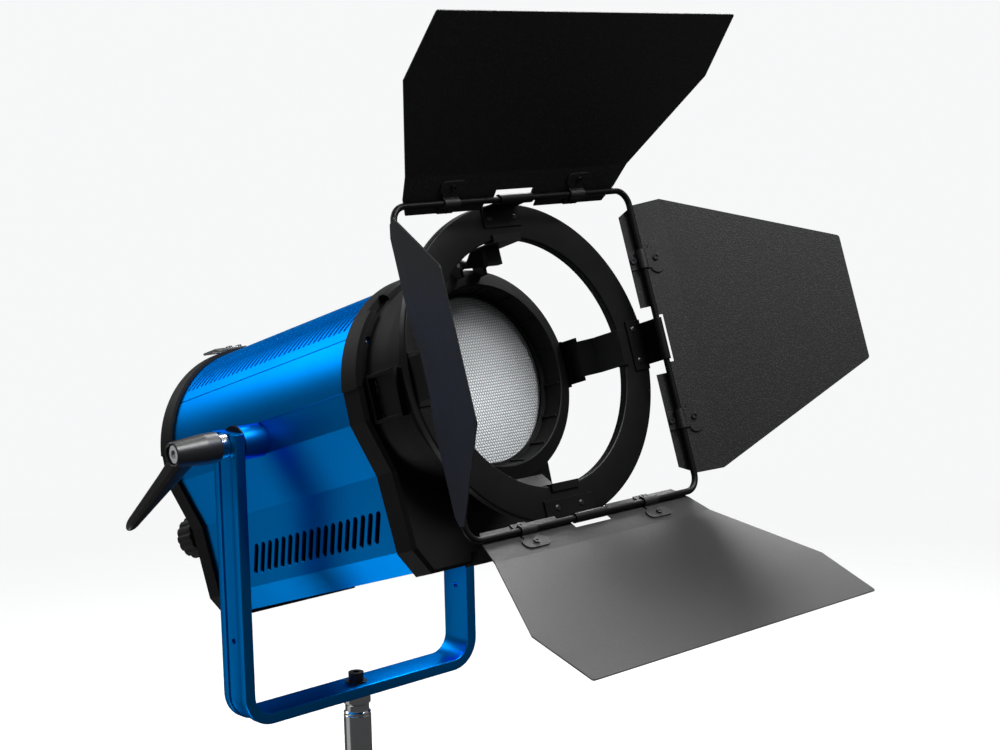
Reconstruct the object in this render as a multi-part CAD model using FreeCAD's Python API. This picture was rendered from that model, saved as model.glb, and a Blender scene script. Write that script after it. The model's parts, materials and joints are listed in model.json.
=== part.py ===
import FreeCAD, Part
import math
import os

V = FreeCAD.Vector

# Fresnel spotlight in its yoke, with a four-leaf barn door.
# Millimetres. +Z is up, the lamp shines towards -Y, +X is to the right of someone looking along +Y.
# The origin is on the stand pin's axis, at the shoulder where the pin seats in a stand's socket.

# Driving dimensions: yoke and stand pin
PIN_R = 14.3
PIN_LENGTH = 55.0
PIN_NECK_R = 12.4
PIN_NECK = 10.5
PIN_COLLAR = 9.5
YOKE_WIDTH = 304.0
YOKE_STRAP = 38.0
YOKE_THICK = 11.6
YOKE_BEND_R = 32.0
YOKE_GROOVE = 20.0
YOKE_GROOVE_DEEP = 1.6
PIVOT_ABOVE_BAR = 281.2
ARM_ABOVE_PIVOT = 12.2

# Driving dimensions: lamp head, from the tilt pivot along the optical axis (s) and across it (x, v)
TILT_DEG = 17.56
OPTIC_RISE = 2.0
BARREL_R = 112.0
SHELL_THICK = 2.0
SHELL_BACK = -155.0
SHELL_FRONT = 153.0
LEDGE_V = 16.0
SIDE_PROFILE = [(109.3, LEDGE_V), (110.0, -15.0), (93.0, -65.0), (90.0, -138.0), (76.0, -160.0)]
SEAM_DEG = 54.0
BEZEL_GROW = 4.0
BEZEL_BACK = 150.0
BEZEL_FRONT = 177.0
REAR_BACK = -176.0
TUBE_FRONT = 230.0
TUBE_OUTER_R = 102.6
TUBE_MOUTH_R = 85.4
LENS_R = 82.0
LENS_S = 207.0
LATCH_S = 237.0
LATCH_V = 106.5

# Driving dimensions: barn door
RING_INNER_R = 115.0
RING_OUTER_R = 148.0
RING_BACK = 281.0
RING_DEEP = 8.0
ROD_S = 312.4
ROD_SIDE = 292.3
ROD_R = 3.0
ROD_CORNER_R = 15.0
SHEET = 1.2

CLIP_X = 78.0

# Driving dimensions: rear panel, focus drive and light engine
PANEL_BACK = -168.0
KNOB_X = -72.0
KNOB_V = -72.0
KNOB_R = 23.0
KNOB_BACK = REAR_BACK - 33.0
LEAD_R = 5.0
GUIDE_X = 78.0
GUIDE_V = 55.0
GUIDE_R = 4.0
CARRIAGE_S = 60.0
DIMMER_X = 36.0
DIMMER_V = -4.0
DATA_X = 24.0
DATA_V = -60.0
INLET_X = -24.0
SWITCH_X = 30.0
SOCKET_V = -112.0
EYE_S = -194.0

# Fits
RUNNING = 0.08
GAP = 0.3

BAR_UNDER = PIN_NECK + PIN_COLLAR
PIVOT_Z = BAR_UNDER + PIVOT_ABOVE_BAR
ARM_IN = YOKE_WIDTH / 2 - YOKE_THICK
ARM_OUT = YOKE_WIDTH / 2
PIVOT_R = 5.0
BOSS_R = 16.5

nodes = {}


# Shape helpers

def box(x0, x1, y0, y1, z0, z1):
    """A box between two corners."""
    return Part.makeBox(x1 - x0, y1 - y0, z1 - z0, V(x0, y0, z0))


def rod(start, end, radius):
    """A round bar from start to end."""
    line = end - start
    return Part.makeCylinder(radius, line.Length, start, line)


def cone(start, end, r0, r1):
    """A taper from radius r0 at start to r1 at end."""
    line = end - start
    return Part.makeCone(r0, r1, line.Length, start, line)


def pipe(start, end, outer, inner):
    """A round tube from start to end."""
    return rod(start, end, outer).cut(rod(start, end, inner))


def fuse(shapes):
    """All shapes as one solid."""
    first, *rest = shapes
    return first.multiFuse(rest).removeSplitter() if rest else first


def group(shapes):
    """Separate solids kept in one node."""
    return Part.makeCompound(list(shapes))


def at(x, s, v):
    """A point in the lamp head: x across, s forward along the optical axis, v up across it."""
    return V(x, -s, v)


def head_box(x0, x1, s0, s1, v0, v1):
    """A box in head coordinates."""
    return box(x0, x1, -s1, -s0, v0, v1)


def prism(outline, s0, s1):
    """A closed wire drawn in the x-v plane at s = 0, carried from s0 to s1."""
    face = Part.Face(outline)
    face.translate(V(0, -s0, 0))
    return face.extrude(V(0, s0 - s1, 0))


def polygon(points, plane):
    """A closed wire through 2-D points, placed by the function plane(a, b)."""
    corners = [plane(a, b) for a, b in points]
    return Part.makePolygon(corners + corners[:1])


def turned(points):
    """A (radius, s) outline turned round the optical axis."""
    wire = polygon(points, lambda r, s: at(r, s, OPTIC_RISE))
    return Part.Face(wire).revolve(V(0, 0, OPTIC_RISE), V(0, 1, 0), 360)


def obround(length, width):
    """A flat slot shape in the x-y plane, centred, long side along x, as a face."""
    half, r = length / 2 - width / 2, width / 2
    top, bottom = V(half, r, 0), V(half, -r, 0)
    edges = [
        Part.LineSegment(V(-half, r, 0), top).toShape(),
        Part.Arc(top, V(half + r, 0, 0), bottom).toShape(),
        Part.LineSegment(bottom, V(-half, -r, 0)).toShape(),
        Part.Arc(V(-half, -r, 0), V(-half - r, 0, 0), V(-half, r, 0)).toShape(),
    ]
    return Part.Face(Part.Wire(edges))


def placed(shape, origin, x_axis, z_axis):
    """The shape moved so that its own x and z axes lie along the given directions at origin."""
    z_axis = V(z_axis).normalize()
    x_axis = V(x_axis).normalize()
    y_axis = z_axis.cross(x_axis)
    matrix = FreeCAD.Matrix(
        x_axis.x, y_axis.x, z_axis.x, origin.x,
        x_axis.y, y_axis.y, z_axis.y, origin.y,
        x_axis.z, y_axis.z, z_axis.z, origin.z,
        0, 0, 0, 1)
    return shape.transformed(matrix)


def round_side(shape, angle):
    """A shape drawn at the top, turned round the optical axis to another side."""
    shape.rotate(V(0, 0, 0), V(0, 1, 0), angle)
    shape.translate(V(0, 0, OPTIC_RISE))
    return shape


def mirrored(shape):
    """The shape mirrored to the other side."""
    return shape.mirror(V(0, 0, 0), V(1, 0, 0))


def screw(point, outward, head_r, head_h, shank_r, shank):
    """A pan-head screw: its head stands on point, its shank goes the other way, with a hex socket."""
    outward = V(outward).normalize()
    body = rod(point - outward * shank, point, shank_r).fuse(rod(point, point + outward * head_h, head_r))
    socket = Part.Face(Part.makePolygon([
        V(head_r * 0.5 * math.cos(math.radians(60 * k)), head_r * 0.5 * math.sin(math.radians(60 * k)), 0)
        for k in range(7)])).extrude(V(0, 0, head_h))
    side = V(1, 0, 0) if abs(outward.x) < 0.9 else V(0, 1, 0)
    x_axis = side - outward * side.dot(outward)
    return body.cut(placed(socket, point + outward * head_h * 0.4, x_axis, outward))


def keep(name, shape):
    """A node that stands in the yoke's frame."""
    nodes[name] = shape


def keep_head(name, shape):
    """A node drawn with the head level, turned to the head's rest tilt about the pivot."""
    tilted = shape.copy()
    tilted.rotate(V(0, 0, 0), V(1, 0, 0), -TILT_DEG)
    tilted.translate(V(0, 0, PIVOT_Z))
    nodes[name] = tilted


# Yoke

def yoke_profile(inset, top):
    """The yoke's outer line in the x-z plane, inset all round, closed across at height top."""
    half = YOKE_WIDTH / 2 - inset
    floor = BAR_UNDER + inset
    r = YOKE_BEND_R - inset
    k = r * (1 - math.sqrt(0.5))
    corners = [V(-half, 0, top), V(-half, 0, floor + r), V(-half + r, 0, floor),
               V(half - r, 0, floor), V(half, 0, floor + r), V(half, 0, top)]
    edges = [
        Part.LineSegment(corners[0], corners[1]).toShape(),
        Part.Arc(corners[1], V(-half + k, 0, floor + k), corners[2]).toShape(),
        Part.LineSegment(corners[2], corners[3]).toShape(),
        Part.Arc(corners[3], V(half - k, 0, floor + k), corners[4]).toShape(),
        Part.LineSegment(corners[4], corners[5]).toShape(),
        Part.LineSegment(corners[5], corners[0]).toShape(),
    ]
    return Part.Face(Part.Wire(edges))


def yoke_slab(inset, top, width):
    """The yoke's filled outline as a slab of the given width, centred on y = 0."""
    face = yoke_profile(inset, top)
    face.translate(V(0, -width / 2, 0))
    return face.extrude(V(0, width, 0))


def yoke_parts():
    arm_top = PIVOT_Z + ARM_ABOVE_PIVOT
    strap = yoke_slab(0, arm_top, YOKE_STRAP).cut(yoke_slab(YOKE_THICK, arm_top + 1, YOKE_STRAP + 2))
    band = yoke_slab(-1, arm_top + 2, YOKE_GROOVE)
    band = band.cut(yoke_slab(YOKE_GROOVE_DEEP, arm_top + 3, YOKE_GROOVE + 2))
    hole_z = BAR_UNDER + 87
    cuts = [
        band,
        rod(V(-ARM_OUT - 5, 0, PIVOT_Z), V(ARM_OUT + 5, 0, PIVOT_Z), PIVOT_R + RUNNING),
        rod(V(-ARM_OUT - 5, 0, hole_z), V(ARM_OUT + 5, 0, hole_z), 3.0),
        rod(V(0, 0, BAR_UNDER - 1), V(0, 0, BAR_UNDER + YOKE_THICK + 1), 6.2),
        rod(V(0, 0, BAR_UNDER - 1), V(0, 0, BAR_UNDER + YOKE_GROOVE_DEEP), PIN_R + GAP),
    ]
    strap = strap.cut(group(cuts))
    keep("yoke_bracket", strap)

    collar_top = BAR_UNDER + YOKE_GROOVE_DEEP
    neck_taper = 2.0
    outline = [(0, -PIN_LENGTH), (PIN_R - 2, -PIN_LENGTH), (PIN_R, -PIN_LENGTH + 2), (PIN_R, 0),
               (PIN_NECK_R, neck_taper), (PIN_NECK_R, PIN_NECK - neck_taper), (PIN_R, PIN_NECK),
               (PIN_R, collar_top), (0, collar_top)]
    wire = polygon(outline, lambda r, z: V(r, 0, z))
    spigot = Part.Face(wire).revolve(V(0, 0, 0), V(0, 0, 1), 360)
    keep("stand_spigot", spigot.cut(rod(V(0, 0, -20), V(0, 0, collar_top + 1), 6.1)))

    bar_top = BAR_UNDER + YOKE_THICK
    flange = pipe(V(0, 0, bar_top), V(0, 0, bar_top + 1.5), 11.0, 5.0)
    keep("spigot_bolt", fuse([screw(V(0, 0, bar_top + 1.5), V(0, 0, 1), 8.0, 9.0, 6.0, 30.0), flange]))

    washers = [pipe(V(side * (ARM_IN - 2.2), 0, PIVOT_Z), V(side * (ARM_IN - 0.2), 0, PIVOT_Z),
                    18.0, PIVOT_R + GAP)
               for side in (-1, 1)]
    keep("friction_washers", group(washers))


# Clamping lever on the left pivot

def lever_parts():
    face = -ARM_OUT - 0.3
    collar_end = face - 9.0
    hub_end = -212.0
    screw_seat = hub_end + 6.0
    stud = fuse([
        rod(at(face, 0, 0), at(collar_end, 0, 0), 12.0),
        rod(at(collar_end + 1, 0, 0), at(screw_seat, 0, 0), 7.0),
        rod(at(-ARM_IN + 30, 0, 0), at(face - 1, 0, 0), PIVOT_R),
    ])
    stud = stud.cut(rod(at(screw_seat + 18, 0, 0), at(screw_seat - 1, 0, 0), 3.1))
    keep_head("lever_stud", stud)
    keep_head("lever_screw", screw(at(screw_seat, 0, 0), V(-1, 0, 0), 8.6, 3.6, 3.0, 16.0))

    hub_start = collar_end - 0.4
    hub = fuse([
        rod(at(hub_start, 0, 0), at(hub_start - 16, 0, 0), 15.0),
        cone(at(hub_start - 16, 0, 0), at(hub_end, 0, 0), 15.0, 11.6),
    ])
    tip = at(-225.0, -84.0, -57.0)
    root = at(-192.0, 0, 0)
    along = (tip - root).normalize()
    across = along.cross(V(1, 0, 0)).normalize()
    normal = along.cross(across)
    octagon = ((-1, -0.6), (-0.6, -1), (0.6, -1), (1, -0.6), (1, 0.6), (0.6, 1), (-0.6, 1), (-1, 0.6))
    sections = []
    for share, wide, thick in ((0.0, 18.0, 28.0), (0.35, 15.0, 19.0), (1.0, 10.0, 8.0)):
        centre = root + (tip - root) * share
        corners = [centre + across * (a * wide / 2) + normal * (b * thick / 2) for a, b in octagon]
        sections.append(Part.makePolygon(corners + corners[:1]))
    arm = Part.makeLoft(sections, True, True)
    hub = fuse([hub, arm])
    hub = hub.cut(rod(at(hub_start + 1, 0, 0), at(hub_end - 1, 0, 0), 7.0 + RUNNING))
    hub = hub.cut(rod(at(hub_end + 18, 0, 0), at(hub_end - 5, 0, 0), 9.2))
    keep_head("lever_handle", hub)
    keep_head("lever_spring", pipe(at(screw_seat + 0.2, 0, 0), at(screw_seat + 6.7, 0, 0), 8.8, 7.6))


# Lamp housing

def offset_profile(grow):
    """The side profile's points moved outwards by grow, with the ledge kept at its height."""
    points = SIDE_PROFILE
    lines = []
    for (x0, v0), (x1, v1) in zip(points, points[1:]):
        length = math.hypot(x1 - x0, v1 - v0)
        nx, nv = -(v1 - v0) / length, (x1 - x0) / length
        lines.append((nx, nv, nx * x0 + nv * v0 + grow))
    lines = [(0.0, 1.0, LEDGE_V)] + lines + [(0.0, 1.0, points[-1][1] - grow)]
    moved = []
    for (a, b, c), (d, e, f) in zip(lines, lines[1:]):
        det = a * e - b * d
        moved.append(((c * e - b * f) / det, (a * f - c * d) / det))
    return moved


def housing_outline(grow):
    """The housing's cross-section as a wire: a round barrel on top of a narrower box."""
    radius = BARREL_R + grow
    side = offset_profile(grow)
    ledge_x = math.sqrt(radius ** 2 - LEDGE_V ** 2)
    right = [at(ledge_x, 0, LEDGE_V)] + [at(x, 0, v) for x, v in side]
    left = [at(-p.x, 0, p.z) for p in reversed(right)]
    edges = [Part.Arc(left[-1], at(0, 0, radius), right[0]).toShape()]
    chain = right + left
    edges += [Part.LineSegment(a, b).toShape() for a, b in zip(chain, chain[1:])]
    return Part.Wire(edges)


def bezel_block(inner_s, shoulder_s, end_s, inset):
    """A solid end cap of the housing, drawn in by inset between its shoulder and its end face."""
    rim = prism(housing_outline(BEZEL_GROW), min(inner_s, shoulder_s), max(inner_s, shoulder_s))
    shoulder = housing_outline(BEZEL_GROW)
    shoulder.translate(at(0, shoulder_s, 0))
    end = housing_outline(BEZEL_GROW - inset)
    end.translate(at(0, end_s, 0))
    return fuse([rim, Part.makeLoft([end, shoulder], True, True)])


def sector(half_deg, reach):
    """A wedge opening upwards from the barrel's axis, as a prism longer than the housing."""
    x = reach * math.sin(math.radians(half_deg))
    v = reach * math.cos(math.radians(half_deg))
    return prism(polygon([(0, 0), (x, v), (0, reach * 2), (-x, v)], lambda a, b: at(a, 0, b)), -400, 400)


def side_slots():
    """The slanted vent slots in one side panel: a row of parallel obrounds that lean forwards."""
    count, pitch, first = 18, 12.0, 127.0
    lean = math.radians(28)
    cuts = []
    for k in range(count):
        middle = at(-112, first - pitch * k, -111)
        face = obround(33, 6.4)
        solid = face.extrude(V(0, 0, 45))
        cuts.append(placed(solid, middle, V(0, -math.sin(lean), math.cos(lean)), V(1, 0, 0)))
    return group(cuts)


def top_slots():
    """Four rows of slanted vent slots in the barrel's top, two on each side of the crown."""
    count, pitch, first = 34, 8.4, 139.0
    lean = math.radians(24)
    cuts = []
    for side in (-1, 1):
        for row_deg in (41.0, 22.5):
            angle = math.radians(side * row_deg)
            outward = V(math.sin(angle), 0, math.cos(angle))
            upward = V(-side * math.cos(angle), 0, side * math.sin(angle))
            for k in range(count):
                middle = V(0, -(first - pitch * k), 0) + outward * (BARREL_R - 9)
                run = upward * math.cos(lean) + V(0, -math.sin(lean), 0)
                cuts.append(placed(obround(30, 3.0).extrude(V(0, 0, 16)), middle, run, outward))
    return group(cuts)


def housing_parts():
    tube = prism(housing_outline(0), SHELL_BACK, SHELL_FRONT).cut(
        prism(housing_outline(-SHELL_THICK), SHELL_BACK - 1, SHELL_FRONT + 1))
    top = tube.common(sector(SEAM_DEG, 200))
    keep_head("top_shell", top.cut(top_slots()))

    boss_hole = rod(at(-130, 0, 0), at(130, 0, 0), 9.0)
    below = tube.cut(sector(SEAM_DEG + 0.5, 200)).cut(boss_hole)
    sides = head_box(-140, -70, -200, 200, -200, 120)
    left = below.common(sides).cut(side_slots())
    keep_head("left_shell", left)
    keep_head("right_shell", mirrored(left))
    keep_head("bottom_plate", below.common(head_box(-69.7, 69.7, -200, 200, -200, -150)))

    boss = rod(at(-106, 0, 0), at(-ARM_IN + 2.4, 0, 0), BOSS_R)
    boss = boss.cut(prism(housing_outline(0.1), -60, 60))
    neck = rod(at(-90, 0, 0), at(-115, 0, 0), 8.8)
    boss = fuse([boss, neck]).cut(rod(at(-80, 0, 0), at(-150, 0, 0), PIVOT_R + RUNNING))
    keep_head("pivot_bosses", group([boss, mirrored(boss)]))
    flange = pipe(at(ARM_OUT + 0.3, 0, 0), at(ARM_OUT + 2.3, 0, 0), 14.0, 4.0)
    bolt = screw(at(ARM_OUT + 2.3, 0, 0), V(1, 0, 0), 9.5, 6.0, PIVOT_R, 70.0)
    keep_head("right_pivot_bolt", fuse([bolt, flange]))


# Front bezel, lens tube and lens

def front_parts():
    foot = head_box(-30, 30, 165, 188, -166, -153)
    solid = fuse([bezel_block(BEZEL_BACK, BEZEL_FRONT - 4, BEZEL_FRONT, 3.0), foot])
    shell_room = prism(housing_outline(GAP), BEZEL_BACK - 1, SHELL_FRONT + GAP)
    hollow = prism(housing_outline(-5), BEZEL_BACK - 1, BEZEL_FRONT - 5)
    notches = []
    for angle in (-37, 37):
        block = head_box(-11, 11, BEZEL_FRONT - 9, BEZEL_FRONT + 5, BARREL_R - 3.5, BARREL_R + 10)
        block.rotate(V(0, 0, 0), V(0, 1, 0), angle)
        notches.append(block)
    holes = []
    for angle in (-58, 58):
        reach = BARREL_R - 4.0
        x, v = reach * math.sin(math.radians(angle)), reach * math.cos(math.radians(angle))
        holes.append(rod(at(x, BEZEL_FRONT + 2, v), at(x, BEZEL_FRONT - 10, v), 3.8))
    window = rod(at(0, BEZEL_FRONT + 2, OPTIC_RISE), at(0, BEZEL_FRONT - 10, OPTIC_RISE), 97.0)
    bezel = solid.cut(group([shell_room, hollow])).cut(group(notches + holes)).cut(window)
    keep_head("front_bezel", bezel)

    wall = 3.0
    bell = [(106.5, BEZEL_FRONT), (106.2, 188), (104.8, 206), (TUBE_OUTER_R, 221), (101.2, 224.2),
            (TUBE_MOUTH_R + 1.2, TUBE_FRONT), (TUBE_MOUTH_R, TUBE_FRONT - 0.6), (82.9, 210),
            (79.5, 210), (79.5, 207.4), (86.2, 207.4), (88.4, 226.4), (99.2, 221.6),
            (TUBE_OUTER_R - wall, 219), (104.8 - wall, 205), (103.2, 188), (103.4, BEZEL_FRONT)]
    tube = turned(bell)
    pockets = []
    frames = []
    slits = []
    for angle in (90, 180, -90):
        cut = head_box(-19, 19, 182, 216, 90, 120)
        slit = fuse([head_box(-21.3, 21.3, 182, 219.6, 99.7, 101.8),
                     head_box(-21.3, 21.3, 219.6, 232, 99.7, 120)])
        frame = head_box(-22.5, 22.5, 178.5, 219.5, 95, 107.5)
        frame = frame.cut(head_box(-19.5, 19.5, 182, 216, 80, 120))
        inner = turned([(0, 170), (101.5, 170), (101.5, 230), (0, 230)])
        for shape, kept in ((cut, pockets), (frame, frames), (slit, slits)):
            shape.rotate(V(0, 0, 0), V(0, 1, 0), angle)
            shape.translate(V(0, 0, OPTIC_RISE))
            kept.append(shape.cut(inner) if kept is frames else shape)
    ribs = []
    for k in range(16):
        fin = [(210.5, 81.2), (TUBE_FRONT - 2.6, TUBE_MOUTH_R - 1.7), (TUBE_FRONT - 2.6, TUBE_MOUTH_R + 0.8),
               (210.5, 84.6)]
        rib = Part.Face(polygon(fin, lambda s, v: V(-1.1, -s, v))).extrude(V(2.2, 0, 0))
        rib.rotate(V(0, 0, 0), V(0, 1, 0), 22.5 * k + 11.25)
        rib.translate(V(0, 0, OPTIC_RISE))
        ribs.append(rib)
    lugs = []
    for side in (-1, 1):
        x0, x1 = sorted((side * 13.0, side * 16.5))
        lug = fuse([head_box(x0, x1, 222.0, LATCH_S, 95.0, LATCH_V + 4.0),
                    rod(at(x0, LATCH_S, LATCH_V), at(x1, LATCH_S, LATCH_V), 5.0)])
        lugs.append(lug.cut(rod(at(-20, LATCH_S, LATCH_V), at(20, LATCH_S, LATCH_V), 2.0 + GAP)))
    tube = tube.cut(group(pockets))
    tube = tube.multiFuse(frames + ribs + lugs).cut(group(slits)).removeSplitter()
    keep_head("lens_tube", tube)

    lens_outline = [(0, LENS_S - 4.5), (LENS_R, LENS_S - 4.5), (LENS_R, LENS_S), (78.5, LENS_S)]
    steps = 9
    for k in range(steps):
        outer = 78.5 * (1 - k / steps)
        inner = 78.5 * (1 - (k + 1) / steps)
        lens_outline.append((outer, LENS_S - 1.4))
        lens_outline.append((inner, LENS_S - 0.2))
    lens_outline[-1] = (0, LENS_S - 0.2)
    keep_head("fresnel_lens", turned(lens_outline))
    keep_head("lens_clamp_ring", turned([(78.0, 198), (86.0, 198), (86.0, LENS_S), (82.4, LENS_S),
                                         (82.4, LENS_S - 4.8), (78.0, LENS_S - 4.8)]))


# Accessory brackets that carry the barn door's ring, and the sprung latch at the top

def bracket_strip(root_s, rear_gap, rear_lip):
    """One bracket drawn at the top: a strip that steps outwards and ends in a channel for the ring.

    The channel's rear lip stands rear_gap behind the ring and reaches out to the radius rear_lip."""
    t = 1.5
    low, high = 100.0, 111.8
    rear = RING_BACK - rear_gap
    base = [(low, root_s), (low, 246.0), (high, 258.0), (high, RING_BACK + RING_DEEP + 2.2),
            (119.0, RING_BACK + RING_DEEP + 2.2), (119.0, RING_BACK + RING_DEEP + 0.7),
            (high + t, RING_BACK + RING_DEEP + 0.7), (high + t, rear), (rear_lip, rear),
            (rear_lip, rear - t), (high + t, rear - t), (high + t, 257.4), (low + t, 245.4),
            (low + t, root_s)]
    face = Part.Face(polygon(base, lambda r, s: at(0, s, r)))
    face.translate(V(-17, 0, 0))
    strip = face.extrude(V(34, 0, 0))
    wide = head_box(-21, 21, root_s, 246.0, low, low + t)
    return fuse([strip, wide])


def bracket_parts():
    keep_head("ring_brackets", group(round_side(bracket_strip(186.0, 0.7, 124.0), angle)
                                     for angle in (90, 180, -90)))

    pin_s, pin_v = LATCH_S, LATCH_V
    latch = bracket_strip(242.0, 1.8, 118.0)
    latch.translate(V(0, 0, OPTIC_RISE))
    knuckle = pipe(at(-12, pin_s, pin_v), at(12, pin_s, pin_v), 4.0, 2.0 + RUNNING)
    web = head_box(-12, 12, pin_s + 2.8, 243, pin_v - 4.5, pin_v - 2.0)
    thumb = head_box(-9, 9, 262, 268, 98.0, 114.0)
    latch = fuse([latch, knuckle, web, thumb])
    keep_head("top_latch", latch.cut(rod(at(-20, pin_s, pin_v), at(20, pin_s, pin_v), 2.0 + RUNNING)))
    keep_head("latch_pin", rod(at(-17, pin_s, pin_v), at(17, pin_s, pin_v), 2.0))


# Rear bezel, rear panel and its controls

def rear_parts():
    solid = bezel_block(SHELL_BACK + 3, REAR_BACK + 5, REAR_BACK, 4.0)
    shell_room = prism(housing_outline(GAP), SHELL_BACK - GAP, SHELL_BACK + 4)
    hollow = prism(housing_outline(-5), PANEL_BACK, SHELL_BACK + 4)
    window = prism(housing_outline(-9), REAR_BACK - 1, PANEL_BACK + 1)
    keep_head("rear_bezel", solid.cut(group([shell_room, hollow, window])))

    panel = prism(housing_outline(-5.4), PANEL_BACK + 0.2, PANEL_BACK + 3)
    back = PANEL_BACK + 0.2
    cuts = [
        rod(at(KNOB_X, -150, KNOB_V), at(KNOB_X, -180, KNOB_V), LEAD_R + 1.2),
        rod(at(DIMMER_X, -150, DIMMER_V), at(DIMMER_X, -180, DIMMER_V), 3.5),
        head_box(-31, 31, -180, -150, 30, 62),
        head_box(INLET_X - 14.2, INLET_X + 14.2, -180, -150, SOCKET_V - 10.2, SOCKET_V + 10.2),
        head_box(SWITCH_X - 7.2, SWITCH_X + 7.2, -180, -150, SOCKET_V - 10.7, SOCKET_V + 10.7),
    ]
    cuts += [rod(at(x, -150, DATA_V), at(x, -180, DATA_V), 12.2) for x in (-DATA_X, DATA_X)]
    screw_places = [(x, v) for x in (-70, 70) for v in (60, -125)] + [(-96, 0), (96, 0)]
    cuts += [rod(at(x, -150, v), at(x, -180, v), 2.2) for x, v in screw_places]
    keep_head("rear_panel", panel.cut(group(cuts)))
    screws = [screw(at(x, back, v), V(0, 1, 0), 3.6, 2.4, 2.0, 6.0) for x, v in screw_places]

    frame = head_box(-34, 34, back - 1.6, back, 27, 65).cut(head_box(-28, 28, -180, -150, 32, 60))
    case = head_box(-30.8, 30.8, back, back + 14, 30.2, 61.8)
    case = case.cut(head_box(-28, 28, -175, back + 12, 32, 60))
    keep_head("display_case", fuse([frame, case]))
    keep_head("display_window", head_box(-27.8, 27.8, back + 0.2, back + 1.8, 32.2, 59.8))

    inlet = head_box(INLET_X - 17, INLET_X + 17, back - 2, back, SOCKET_V - 13, SOCKET_V + 13)
    well = head_box(INLET_X - 12, INLET_X + 12, back - 3, back + 17, SOCKET_V - 8, SOCKET_V + 8)
    inlet_body = head_box(INLET_X - 14, INLET_X + 14, back, back + 22, SOCKET_V - 10, SOCKET_V + 10)
    inlet = fuse([inlet, inlet_body]).cut(well)
    keep_head("power_inlet", inlet)
    contacts = []
    for x, v in ((INLET_X - 7, SOCKET_V - 3), (INLET_X + 7, SOCKET_V - 3), (INLET_X, SOCKET_V + 3)):
        contacts.append(head_box(x - 1, x + 1, back + 7, back + 17, v - 2.5, v + 2.5))

    frames = []
    for x in (-DATA_X, DATA_X):
        shape = fuse([rod(at(x, back - 2.5, DATA_V), at(x, back, DATA_V), 14.0),
                      rod(at(x, back, DATA_V), at(x, back + 20, DATA_V), 12.0)])
        frames.append(shape.cut(rod(at(x, back - 4, DATA_V), at(x, back + 14, DATA_V), 9.5)))
    keep_head("data_connectors", group(frames))
    for x in (-DATA_X, DATA_X):
        for k in range(5):
            angle = math.radians(36 + 72 * k)
            cx, cv = x + 5.2 * math.cos(angle), DATA_V + 5.2 * math.sin(angle)
            contacts.append(rod(at(cx, back + 14, cv), at(cx, back + 6, cv), 0.9))
    keep_head("contact_pins", group(contacts))

    bezel = head_box(SWITCH_X - 9, SWITCH_X + 9, back - 1.6, back, SOCKET_V - 13, SOCKET_V + 13)
    body = head_box(SWITCH_X - 7, SWITCH_X + 7, back, back + 16, SOCKET_V - 10.5, SOCKET_V + 10.5)
    well = head_box(SWITCH_X - 5.6, SWITCH_X + 5.6, back - 3, back + 12, SOCKET_V - 9.2, SOCKET_V + 9.2)
    keep_head("switch_housing", fuse([bezel, body]).cut(well))
    outline = [(-7.4, 7.9), (-5.0, 0.0), (-7.4, -7.9), (0.0, -7.0), (4.0, 0.0), (0.0, 7.0)]
    face = Part.Face(polygon(outline, lambda s, v: at(0, s, v)))
    face.rotate(V(0, 0, 0), V(1, 0, 0), -9.0)
    face.translate(at(0, back + 4.0, SOCKET_V))
    face.translate(V(SWITCH_X - 5.3, 0, 0))
    trunnion = rod(at(SWITCH_X - 5.5, back + 4.0, SOCKET_V), at(SWITCH_X + 5.5, back + 4.0, SOCKET_V), 1.5)
    keep_head("switch_rocker", fuse([face.extrude(V(10.6, 0, 0)), trunnion]))

    shaft = rod(at(DIMMER_X, back + 8, DIMMER_V), at(DIMMER_X, back - 8, DIMMER_V), 3.0)
    knob = cone(at(DIMMER_X, back - 1.0, DIMMER_V), at(DIMMER_X, back - 15, DIMMER_V), 13.0, 11.8)
    flutes = [rod(at(DIMMER_X + 14.3 * math.cos(a), back, DIMMER_V + 14.3 * math.sin(a)),
                  at(DIMMER_X + 14.3 * math.cos(a), back - 13, DIMMER_V + 14.3 * math.sin(a)), 2.0)
              for a in (math.radians(20 * k) for k in range(18))]
    keep_head("dimmer_knob", fuse([knob.cut(group(flutes)), shaft]))

    strap = [(-158, 6.2), (-172, 6.2), (-182, 10.4), (-206, 10.4),
             (-206, 8.0), (-181.4, 8.0), (-171.4, 4.0), (-158, 4.0)]
    face = Part.Face(polygon(strap, lambda s, v: at(0, s, BARREL_R + v)))
    face.translate(V(-12, 0, 0))
    eye = face.extrude(V(24, 0, 0))
    eye = eye.cut(rod(at(0, EYE_S, 90), at(0, EYE_S, 140), 7.0))
    eye = eye.cut(group(rod(at(x, -164, 100), at(x, -164, 140), 2.2) for x in (-6, 6)))
    keep_head("safety_eye", eye)
    screws += [screw(at(x, -164, BARREL_R + 6.2), V(0, 0, 1), 3.6, 2.4, 2.0, 2.1) for x in (-6, 6)]
    keep_head("rear_screws", group(screws))


# Focus drive and the light engine that it slides

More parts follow.
